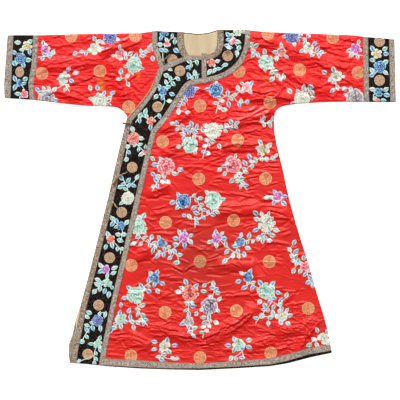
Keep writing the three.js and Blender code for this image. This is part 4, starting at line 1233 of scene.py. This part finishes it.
def ground_of(nodes):
    """A tree of the upper sides of some pieces, and the piece that each of its faces is from."""
    points, faces, owners = [], [], []
    for node in nodes:
        spots, tops = shells[node]
        faces += [[v + len(points) for v in f] for f in tops]
        points += spots.tolist()
        owners += [node] * len(tops)
    return BVHTree.FromPolygons(points, faces), owners


grounds = {name: ground_of(nodes) for name, nodes in carriers.items()}
embroidery = {}


def ground_at(x, y, ground):
    """Height of the cloth at a point in mm and the piece it is on, also where a ribbon covers it."""
    for name, drop in ((ground, 0), ("ribbon", ribbon_cover)):
        tree, owners = grounds[name]
        spot, _, face, _ = tree.ray_cast(Vector((x * mm, y * mm, 0.1)), Vector((0, 0, -1)))
        if spot:
            return spot.z / mm - drop, owners[face]
    return None


def stitch(ground, grid, lift, colours, uv, kind, around=False):
    """Adds a low cushion of thread from a grid of points. Points off the cloth's edge are drawn in."""
    rows, columns = grid.shape[:2]
    centre = grid.reshape(-1, 2).mean(0)
    found = ground_at(*centre, ground)
    if found is None:
        return
    owner = found[1]
    if owner not in carriers[ground]:
        return
    group = embroidery.setdefault((owner, kind), {"points": [], "faces": [], "colours": [], "uv": []})
    start = len(group["points"])
    for spot, high in zip(grid.reshape(-1, 2), lift.ravel()):
        found = ground_at(*spot, ground)
        near, far = centre, spot
        if found is None:
            for _ in range(7):
                middle = (near + far) / 2
                at_middle = ground_at(*middle, ground)
                if at_middle is None:
                    far = middle
                else:
                    near, found = middle, at_middle
            found, spot = found or ground_at(*centre, ground), near
        group["points"].append((spot[0], spot[1], found[0] + stitch_foot + high))
    group["colours"] += colours.reshape(-1, 3).tolist()
    group["uv"] += uv.reshape(-1, 2).tolist()
    number = start + np.arange(rows * columns).reshape(rows, columns)
    if around:
        number = np.hstack((number, number[:, :1]))
    a, b, c, d = number[:-1, :-1], number[1:, :-1], number[1:, 1:], number[:-1, 1:]
    group["faces"] += np.stack((a, b, c, d), axis=-1).reshape(-1, 4).tolist()
    if around:
        low, high = number[0], number[-1]
        group["faces"] += np.stack((low[1:], high[1:], high[:-1], low[:-1]), axis=-1).tolist()
    else:
        right, left = number[:, 0], number[:, -1]
        group["faces"] += np.stack((left[:-1], left[1:], right[1:], right[:-1]), axis=-1).tolist()
        group["faces"] += [number[0].tolist(), number[-1, ::-1].tolist()]


def mixed(palette, heart, rim):
    """Thread colours for weights from heart to middle, then from there to the rim."""
    a, b, c = (np.array(linear(colour)[:3]) for colour in palette)
    base = a + (b - a) * np.clip(heart, 0, 1)[..., None]
    return base + (c - base) * np.clip(rim, 0, 1)[..., None]


across = np.array((-1, -0.55, 0, 0.55, 1))
leaf_across = np.array((-1, -0.72, -0.36, 0, 0.36, 0.72, 1))
petal_shares = np.array((0, 0.3, 0.62, 0.86, 1))
petal_widths = np.array((0.3, 0.8, 1, 0.94, 0.6))
leaf_shares = np.array((0, 0.22, 0.5, 0.78, 1))
leaf_widths = np.array((0.1, 0.82, 1, 0.64, 0.03))


def blade(ground, x, y, angle, length, width, shares, widths, palette, lift, kind, notch=0.0,
          shade=0.0):
    """A petal or leaf from its foot at x, y. shade above 0 makes more of it pale, below 0 less."""
    t, v = shares[:, None], (leaf_across if kind == "leaves" else across)[None, :]
    forward = length * t * (1 - 0.09 * v ** 2 * t) - notch * length * (t == 1) * (1 - np.abs(v))
    side = v * widths[:, None] * width / 2
    c, s = math.cos(angle), math.sin(angle)
    grid = np.dstack((x + forward * c - side * s, y + forward * s + side * c))
    high = lift + stitch_dome * (1 - v ** 2) * np.sin(np.pi * np.clip(t, 0, 1)) ** 0.6
    if kind == "leaves":
        colours = mixed(palette, np.abs(v) * 1.2 - 0.2 + 0.5 * t, (np.abs(v) - 0.32) * 2.2 + 0.2 * t)
    else:
        colours = mixed(palette, t * 1.5 - 0.2 + shade + 0 * v,
                        np.maximum((t - 0.7 + 0.4 * shade) / 0.24, 0.8 * v ** 4 * (t > 0.4)))
    stitch(ground, grid, high, colours, np.dstack((side, forward)), kind)


def ring_of_petals(ground, x, y, count, foot, length, width, palette, lift, dice, notch):
    turn = dice.uniform(0, 2 * math.pi)
    for k in range(count):
        angle = turn + 2 * math.pi * (k + dice.uniform(-0.2, 0.2)) / count
        shade = dice.uniform(-0.35, 0.25)
        blade(ground, x + foot * math.cos(angle), y + foot * math.sin(angle), angle,
              length * dice.uniform(0.82, 1.16), width * dice.uniform(0.8, 1.12),
              petal_shares, petal_widths, palette, lift, "flowers", notch, shade)


# Rings of petals, from the outside in: how many, then foot, length and width as shares of the radius.
flower_rings = {
    "peony": [(12, 0.52, 0.52, 0.46), (9, 0.3, 0.44, 0.4), (5, 0.07, 0.36, 0.36)],
    "mum": [(18, 0.5, 0.5, 0.36), (13, 0.26, 0.5, 0.34), (8, 0.03, 0.38, 0.3)],
    "plum": [(5, 0.1, 0.92, 0.8), (5, 0.0, 0.46, 0.3)],
}
heart_threads = ("#8a6a24", "#d9b24c", "#f0d98a")


def disc(ground, x, y, radii, lifts, colour, kind, squash=1.0):
    """A round patch, or with squash a narrower oval, from rings of given radii, heights and colour."""
    turns = np.linspace(0, 2 * math.pi, 28, endpoint=False)
    r = np.array(radii)[:, None]
    grid = np.dstack((x + r * squash * np.cos(turns), y + r * np.sin(turns)))
    high = np.array(lifts)[:, None] + 0 * turns
    uv = np.dstack((r + 0 * turns, r * turns))
    stitch(ground, grid, high, np.broadcast_to(colour, (*high.shape, 3)), uv, kind, True)


def flower(ground, x, y, kind, radius, colours, dice):
    palette = threads[colours]
    if kind == "bud":
        turn = dice.uniform(0, 2 * math.pi)
        for side in (-0.7, 0.7, 0):
            blade(ground, x - 0.5 * radius * math.cos(turn), y - 0.5 * radius * math.sin(turn),
                  turn + side, radius * 1.4, radius * 0.95, petal_shares, petal_widths, palette,
                  0.3 + (0.2 if side == 0 else 0), "flowers", 0.05)
        return
    # A disc under the petals at half the colour of their hearts: painted shade in the hollows between
    # them.
    painted_shade_under_petals = tuple(c * 0.5 for c in linear(palette[0])[:3])
    if kind != "mum":
        disc(ground, x, y, [0.02 * radius, 0.35 * radius, 0.7 * radius], [0.2, 0.2, 0], painted_shade_under_petals, "flowers")
    for tier, (count, foot, length, width) in enumerate(flower_rings[kind]):
        ring_of_petals(ground, x, y, count, foot * radius, length * radius, width * radius, palette,
                       0.25 + 0.22 * tier, dice, 0.1 if kind == "peony" else 0.03)
    if kind == "plum":
        ring_of_petals(ground, x, y, 5, 0, 0.16 * radius, 0.14 * radius, heart_threads, 0.8, dice, 0)


def smooth(points, pieces=5):
    """A curve through the points."""
    rows = [np.array(p, float) for p in points]
    rows = [2 * rows[0] - rows[1]] + rows + [2 * rows[-1] - rows[-2]]
    out = []
    for a, b, c, d in zip(rows, rows[1:], rows[2:], rows[3:]):
        for k in range(pieces):
            t = k / pieces
            out.append(0.5 * (2 * b + (c - a) * t + (2 * a - 5 * b + 4 * c - d) * t * t
                              + (3 * b - a - 3 * c + d) * t ** 3))
    return np.array(out + [rows[-2]])


def stem(ground, points, width):
    """A line of stem stitch: it is thickest at its foot."""
    path = smooth(points, 6)
    ahead = np.gradient(path, axis=0)
    ahead /= np.linalg.norm(ahead, axis=1)[:, None] + 1e-9
    left = np.column_stack((-ahead[:, 1], ahead[:, 0]))
    v = np.array((-1, 0, 1))
    half = width / 2 * np.linspace(0.8, 1.1, len(path))
    grid = path[:, None] + left[:, None] * v[None, :, None] * half[:, None, None]
    high = 0.3 + 0.45 * (1 - v ** 2)[None, :] + np.zeros((len(path), 1))
    colours = mixed(stem_threads, 1 - np.abs(v)[None, :] + np.zeros((len(path), 1)),
                    0 * high + 0.2)
    far = np.concatenate(([0], np.cumsum(np.linalg.norm(np.diff(path, axis=0), axis=1))))
    uv = np.dstack((v[None, :] * half[:, None], far[:, None] + 0 * v[None, :]))
    stitch(ground, grid, high, colours, uv, "leaves")
    return path


stem_width = 3.0
stalk_width = 1.8        # from a leaf to its stem
leaf_length, leaf_width = (24, 31), (15, 19)
small_leaf_length, small_leaf_width = (20, 27), (12.5, 16.5)
leaf_lift = 0.05


def leaf(ground, foot, angle, length, width, dice):
    blade(ground, *foot, angle, length, width, leaf_shares, leaf_widths, dice.choice(leaf_threads),
          leaf_lift, "leaves")


def grow_leaves(ground, leaves, flowers, paths, dice):
    """Turns each leaf away from what it grows on, and joins it to its stem."""
    heads = np.array([row[:2] for row in flowers], float)
    reach = np.array([0.6 * row[3] for row in flowers])
    on_stems = np.vstack(paths)
    for x, y in leaves:
        spot = np.array((x, y), float)
        to_heads = np.linalg.norm(heads - spot, axis=1) - reach
        to_stems = np.linalg.norm(on_stems - spot, axis=1)
        from_head = to_heads.min() < to_stems.min()
        anchor = heads[to_heads.argmin()] if from_head else on_stems[to_stems.argmin()]
        away = spot - anchor
        if np.linalg.norm(away) < 4:
            away = spot - heads[np.linalg.norm(heads - spot, axis=1).argmin()]
        angle = math.atan2(away[1], away[0]) + dice.uniform(-0.35, 0.35)
        length, width = dice.uniform(*leaf_length), dice.uniform(*leaf_width)
        foot = spot - 0.5 * length * np.array((math.cos(angle), math.sin(angle)))
        leaf(ground, foot, angle, length, width, dice)
        if not from_head and np.linalg.norm(foot - anchor) > 3:
            stem(ground, [anchor, foot + 0.15 * (spot - foot)], stalk_width)


long_stem = 60           # a stem longer than this ends in a bare cut end
bare_end = 20
first_leaf = 7           # how far up a stem its first leaf grows
leaf_step = 11           # and from there to the next


def fill_out(ground, paths, flowers, roundels, leaves, dice):
    """Adds leaves to both sides of each stem and from under each flower, wherever there is room."""
    taken = [np.array(spot, float) for spot in leaves]
    kept_clear = [(np.array(row[:2], float), 0.8 * row[3] + 5) for row in flowers]
    kept_clear += [(np.array(spot, float), silk_roundel_radius + 7) for spot in roundels]

    def try_leaf(foot, angle, room):
        length, width = dice.uniform(*small_leaf_length), dice.uniform(*small_leaf_width)
        centre = foot + 0.5 * length * np.array((math.cos(angle), math.sin(angle)))
        if (all(np.linalg.norm(centre - other) > room for other in taken)
                and all(np.linalg.norm(centre - spot) > clear for spot, clear in kept_clear)
                and ground_at(*centre, ground) and ground_at(*centre, ground)[1] in carriers[ground]):
            leaf(ground, foot, angle, length, width, dice)
            taken.append(centre)

    for path in paths:
        far = np.concatenate(([0], np.cumsum(np.linalg.norm(np.diff(path, axis=0), axis=1))))
        last = far[-1] - bare_end if far[-1] > long_stem else far[-1] + 4
        for k, at in enumerate(np.arange(first_leaf, last, leaf_step)):
            at = min(at, far[-1])
            foot = np.array([np.interp(at, far, path[:, axis]) for axis in (0, 1)])
            ahead = np.array([np.interp(min(at + 4, far[-1]), far, path[:, axis])
                              - np.interp(at - 4, far, path[:, axis]) for axis in (0, 1)])
            side = 0 if at == far[-1] else (1, -1)[k % 2]
            try_leaf(foot, math.atan2(ahead[1], ahead[0]) + side * dice.uniform(0.7, 1.2), 16)
    for x, y, _, radius, _ in flowers:
        turn = dice.uniform(0, 2 * math.pi)
        for k in range(3):
            angle = turn + 2 * math.pi * k / 3 + dice.uniform(-0.3, 0.3)
            foot = np.array((x + 0.75 * radius * math.cos(angle), y + 0.75 * radius * math.sin(angle)))
            try_leaf(foot, angle + dice.uniform(-0.3, 0.3), 20)


# A quarter of the roundel's fret: the ends of each bar, as shares of the radius. It turns four times.
fret = [
    ((0.0, 0.2), (0.0, 0.8)), ((0.2, 0.2), (0.2, 0.46)), ((0.2, 0.46), (0.5, 0.46)),
    ((0.2, 0.68), (0.46, 0.68)), ((0.36, 0.26), (0.62, 0.26)), ((0.62, 0.26), (0.62, 0.5)),
]
fret_width = 0.115


def roundel(ground, x, y, radius, squash=1.0, tarnish_and_shade=0.0):
    """A gold roundel: a flat ground, a border ring and a fret of couched cord."""
    # The gold is darkened a little at random on every roundel, and more on the one in the skirt's middle:
    # painted shade there.
    dark, light = (np.array(linear(c)[:3]) * (1 - tarnish_and_shade) for c in gold_threads[ground])
    disc(ground, x, y, [0.01 * radius, 0.4 * radius, 0.75 * radius, 0.99 * radius],
         [0.25, 0.25, 0.25, 0.0], dark, "roundels", squash)
    disc(ground, x, y, [0.86 * radius, 0.92 * radius, 0.98 * radius], [0.25, 0.6, 0.1], light,
         "roundels", squash)
    v = np.array((-1, 0, 1))
    for quarter in range(4):
        c, s = math.cos(quarter * math.pi / 2), math.sin(quarter * math.pi / 2)
        for start, end in fret:
            a, b = (np.array((c * px - s * py, s * px + c * py)) * radius for px, py in (start, end))
            ahead = (b - a) / np.linalg.norm(b - a)
            a, b = a - ahead * fret_width * radius / 2, b + ahead * fret_width * radius / 2
            left = np.array((-ahead[1], ahead[0])) * fret_width * radius / 2
            rows = np.array((a, (a + b) / 2, b))
            grid = (rows[:, None] + left * v[None, :, None]) * np.array((squash, 1)) + np.array((x, y))
            high = 0.25 + 0.35 * (1 - v ** 2)[None, :] + np.zeros((3, 1))
            uv = np.dstack((v[None] * 1.4 + np.zeros((3, 1)), np.zeros((3, 3))))
            stitch(ground, grid, high, np.broadcast_to(light, (3, 3, 3)), uv, "roundels")


def embroider():
    dice = random.Random(5)
    for ground, flowers, leaves, stems, roundels, radius in (
            ("silk", silk_flowers, silk_leaves, silk_stems, silk_roundels, silk_roundel_radius),
            ("satin", satin_flowers, satin_leaves, satin_stems, satin_roundels, satin_roundel_radius)):
        paths = [stem(ground, points, stem_width) for points in stems]
        grow_leaves(ground, leaves, flowers, paths, dice)
        fill_out(ground, paths, flowers, roundels, leaves, dice)
        for x, y, kind, size, colours in flowers:
            flower(ground, x, y, kind, size, colours, dice)
        for x, y in roundels:
            roundel(ground, x, y, radius, 0.8 if (x, y) == narrow_roundel else 1.0,
                    0.3 if (x, y) == shaded_roundel else dice.uniform(0, 0.08))


def thread_material(name, roughness, spacing, specks=0.0):
    """Floss silk or gold thread: its dyed colour, with a bright gloss along the close threads. specks
    is how dark the places are where the gold has rubbed off."""
    material, tree, shader = start_material(name)
    dye = add(tree, "VertexColor", layer_name="thread", out="Color")
    lay = add(tree, "UVMap", uv_map="weave")
    uneven = add(tree, "TexNoise", {"Vector": lay, "Scale": 0.5, "Detail": 2.0})
    shade = add(tree, "ValToRGB", {"Fac": uneven}, stops=[(0.3, "#e4e4e4"), (0.6, "#ffffff")])
    colour = add(tree, "Mix", {0: 1.0, 6: dye, 7: shade}, out=2, data_type="RGBA",
                 blend_type="MULTIPLY")
    if specks:
        place = add(tree, "TexCoord", out="Object")
        rubbed = add(tree, "TexNoise", {"Vector": place, "Scale": 190.0, "Detail": 1.0})
        rubbed = add(tree, "MapRange", {"Value": rubbed, "From Min": 0.52, "From Max": 0.66,
                                        "To Max": specks})
        colour = add(tree, "Mix", {0: rubbed, 6: colour, 7: linear("#b0481c")}, out=2, data_type="RGBA")
    tree.links.new(colour, shader.inputs["Base Color"])
    lines = add(tree, "TexWave", {"Vector": lay, "Scale": 0.314 / spacing, "Distortion": 0.4},
                bands_direction="X")
    bump = add(tree, "Bump", {"Height": lines, "Strength": 0.4, "Distance": 0.0002})
    tree.links.new(bump, shader.inputs["Normal"])
    shader.inputs["Roughness"].default_value = roughness
    shader.inputs["Sheen Weight"].default_value = 0.1
    return material


embroider()
# Floss lies 0.3 mm apart and gold cord 0.5 mm: both are drawn at about 1 mm, so that they show.
floss = thread_material("silk_floss", 0.42, 0.9)
gold = thread_material("gilt_cord", 0.5, 1.1, specks=0.55)
for (owner, kind), group in sorted(embroidery.items()):
    is_gold = kind == "roundels"
    piece = link(f"{owner}_{kind}", group["points"], group["faces"], [gold if is_gold else floss],
                 uv=group["uv"])
    dye = piece.data.color_attributes.new(name="thread", type="FLOAT_COLOR", domain="POINT")
    rgba = np.column_stack((np.array(group["colours"]), np.ones(len(group["colours"]))))
    dye.data.foreach_set("color", rgba.astype(np.float32).ravel())

# ---- Fastenings and the overlap's piping -----------------------------------------------------------

# Node, then the cord from its sewn end to the knot, the knot's radius, the top of the layers that it
# lies on, the cord's radius and two colours.
fastenings = [
    ("fastening_neck", [(-116, 570), (-134, 553), (-143, 542)], 4.6, 5.0, 1.3, "#a98a4a", "#6c4f28"),
    ("fastening_underarm", [(-262, 296), (-280, 300), (-297, 301)], 4.7, 6.9, 1.5, "#6f6140", "#3c3324"),
    ("fastening_side_upper", [(-284, 110), (-314, 95), (-337, 70)], 4.2, 6.9, 1.6, "#b59a6c", "#7c6442"),
    ("fastening_side_lower", [(-322, -30), (-331, -18), (-339, -8)], 3.8, 6.9, 1.7, "#c8ae7e", "#8f764c"),
]


cord_sides = 8


def tube_along(path, radius, closed=False):
    """Points, faces and UVs of a round cord along a path in 3D."""
    path = np.asarray(path, float)
    if closed:
        ahead = np.roll(path, -1, axis=0) - np.roll(path, 1, axis=0)
    else:
        ahead = np.gradient(path, axis=0)
    ahead /= np.linalg.norm(ahead, axis=1)[:, None]
    up = np.tile((0.13, 0.21, 0.97), (len(path), 1))
    left = np.cross(up, ahead)
    left /= np.linalg.norm(left, axis=1)[:, None]
    up = np.cross(ahead, left)
    turns = np.linspace(0, 2 * math.pi, cord_sides, endpoint=False)
    rings = (path[:, None] + radius * (np.cos(turns)[None, :, None] * left[:, None]
                                       + np.sin(turns)[None, :, None] * up[:, None]))
    rows = len(path)
    number = np.arange(rows * cord_sides).reshape(rows, cord_sides)
    if closed:
        number = np.vstack((number, number[:1]))
    faces = quads(number, around=True)[:, ::-1].tolist()
    if not closed:
        faces += [number[0].tolist(), number[-1, ::-1].tolist()]
    far = np.concatenate(([0], np.cumsum(np.linalg.norm(np.diff(path, axis=0), axis=1))))
    uv = np.dstack((far[:, None] + 3 * turns[None, :], 0 * far[:, None] + turns[None, :]))
    return rings.reshape(-1, 3), faces, uv.reshape(-1, 2)


def fastening(node, line, knot, top, radius, light, dark):
    """Two twisted strands, with a ball of cord knotted at their end."""
    path = smooth(line, 14)
    far = np.concatenate(([0], np.cumsum(np.linalg.norm(np.diff(path, axis=0), axis=1))))
    count = int(far[-1] / 0.9)
    path = np.column_stack([np.interp(np.linspace(0, far[-1], count), far, path[:, k]) for k in (0, 1)])
    ahead = np.gradient(path, axis=0)
    ahead /= np.linalg.norm(ahead, axis=1)[:, None]
    left = np.column_stack((-ahead[:, 1], ahead[:, 0], np.zeros(count)))
    centre = np.column_stack((path, np.full(count, top + gap + 1.6 * radius)))
    spin = np.linspace(0, far[-1], count) / radius / 1.6
    parts = []
    for turn in (0, math.pi):
        sideways = left * np.cos(spin + turn)[:, None] * radius * 0.95
        upwards = np.array((0, 0, 1)) * np.sin(spin + turn)[:, None] * radius * 0.6
        parts.append((tube_along(centre + sideways + upwards, radius), light if turn else dark))
    ball = np.array((*line[-1], top + gap + knot))
    around = np.linspace(0, 2 * math.pi, 20, endpoint=False)
    flat = np.column_stack((np.cos(around), np.sin(around), 0 * around))
    for tilt, heading in ((0.2, 0.0), (1.1, 0.4), (1.1, 2.5), (1.1, 4.6)):
        c, d = math.cos(tilt), math.sin(tilt)
        e, f = math.cos(heading), math.sin(heading)
        tipped = flat @ np.array(((1, 0, 0), (0, c, d), (0, -d, c)))
        turned = tipped @ np.array(((e, f, 0), (-f, e, 0), (0, 0, 1)))
        parts.append((tube_along(ball + turned * knot * 0.64, knot * 0.35, closed=True), light))
    points, faces, uv, dye = [], [], [], []
    for (spots, sides, lay), colour in parts:
        faces += [[v + len(points) for v in face] for face in sides]
        points += spots.tolist()
        uv += lay.tolist()
        dye += [linear(colour)] * len(spots)
    piece = link(f"{node}_cord", points, faces, [cord], uv=uv)
    colours = piece.data.color_attributes.new(name="thread", type="FLOAT_COLOR", domain="POINT")
    colours.data.foreach_set("color", np.array(dye, np.float32).ravel())
    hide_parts(node)


piping_radius = 1.2
piping_from, piping_to = 288, 468    # at Y
piping_beside = (0.9, -0.7)          # how far past the trim's edge its middle lies


def overlap_piping():
    """A pale roll that shows along the overlap's outer trim, from the underarm to the chest."""
    near, far = four_sides(footprint("trim_overlap_outer"))[:2]
    edge = resampled(min(near, far, key=lambda chain: chain[:, 0].mean()), 4)
    edge = edge[(edge[:, 1] > piping_from) & (edge[:, 1] < piping_to)] + np.array(piping_beside)
    high = [ground_at(*spot, "ribbon")[0] + piping_radius for spot in edge]
    points, faces, _ = tube_along(np.column_stack((edge, high)), piping_radius)
    link("overlap_piping", points, faces, [lining])


overlap_piping()

# Cord twisted from silk yarns 0.7 mm apart.
cord = thread_material("twisted_silk_cord", 0.6, 0.7)
for row in fastenings:
    fastening(*row)

# ---- Floor and light -------------------------------------------------------------------------------

floor_mesh = bpy.data.meshes.new("floor")
floor_half, floor_top = 6, -0.0004
floor_mesh.from_pydata([(x * floor_half, y * floor_half, floor_top)
                        for x, y in ((-1, -1), (1, -1), (1, 1), (-1, 1))], [], [(0, 1, 2, 3)])
floor = bpy.data.objects.new("floor", floor_mesh)
scene.collection.objects.link(floor)
# White paper lit from below as well, so that it shows no shadow.
paper, _, paper_shader = start_material("white_paper")
paper_shader.inputs["Base Color"].default_value = linear("#f3f2f0")
paper_shader.inputs["Roughness"].default_value = 0.95
paper_shader.inputs["Emission Color"].default_value = (1, 1, 1, 1)
paper_shader.inputs["Emission Strength"].default_value = 0.75
floor_mesh.materials.append(paper)

scene.view_settings.view_transform = "Standard"
scene.world = bpy.data.worlds.new("studio")
scene.world.use_nodes = True
background = scene.world.node_tree.nodes["Background"]
background.inputs["Color"].default_value = (1, 1, 1, 1)
background.inputs["Strength"].default_value = 0.15

# Name, where it shines from, how soft it is in degrees, and its strength. The key lies low beyond the
# collar, so that slopes towards it shine.
lamps = [
    ("key", (-0.3, 1.0, 0.42), 7, 4.9),
    ("top", (0.08, 0.4, 1.0), 6, 1.1),
    ("side", (-1.0, -0.1, 0.8), 20, 0.3),
]
for name, start, softness, strength in lamps:
    lamp = bpy.data.objects.new(name, bpy.data.lights.new(name, "SUN"))
    lamp.data.angle = math.radians(softness)
    lamp.data.energy = strength
    lamp.location = start
    lamp.rotation_euler = (-Vector(start)).to_track_quat("-Z", "Y").to_euler()
    scene.collection.objects.link(lamp)
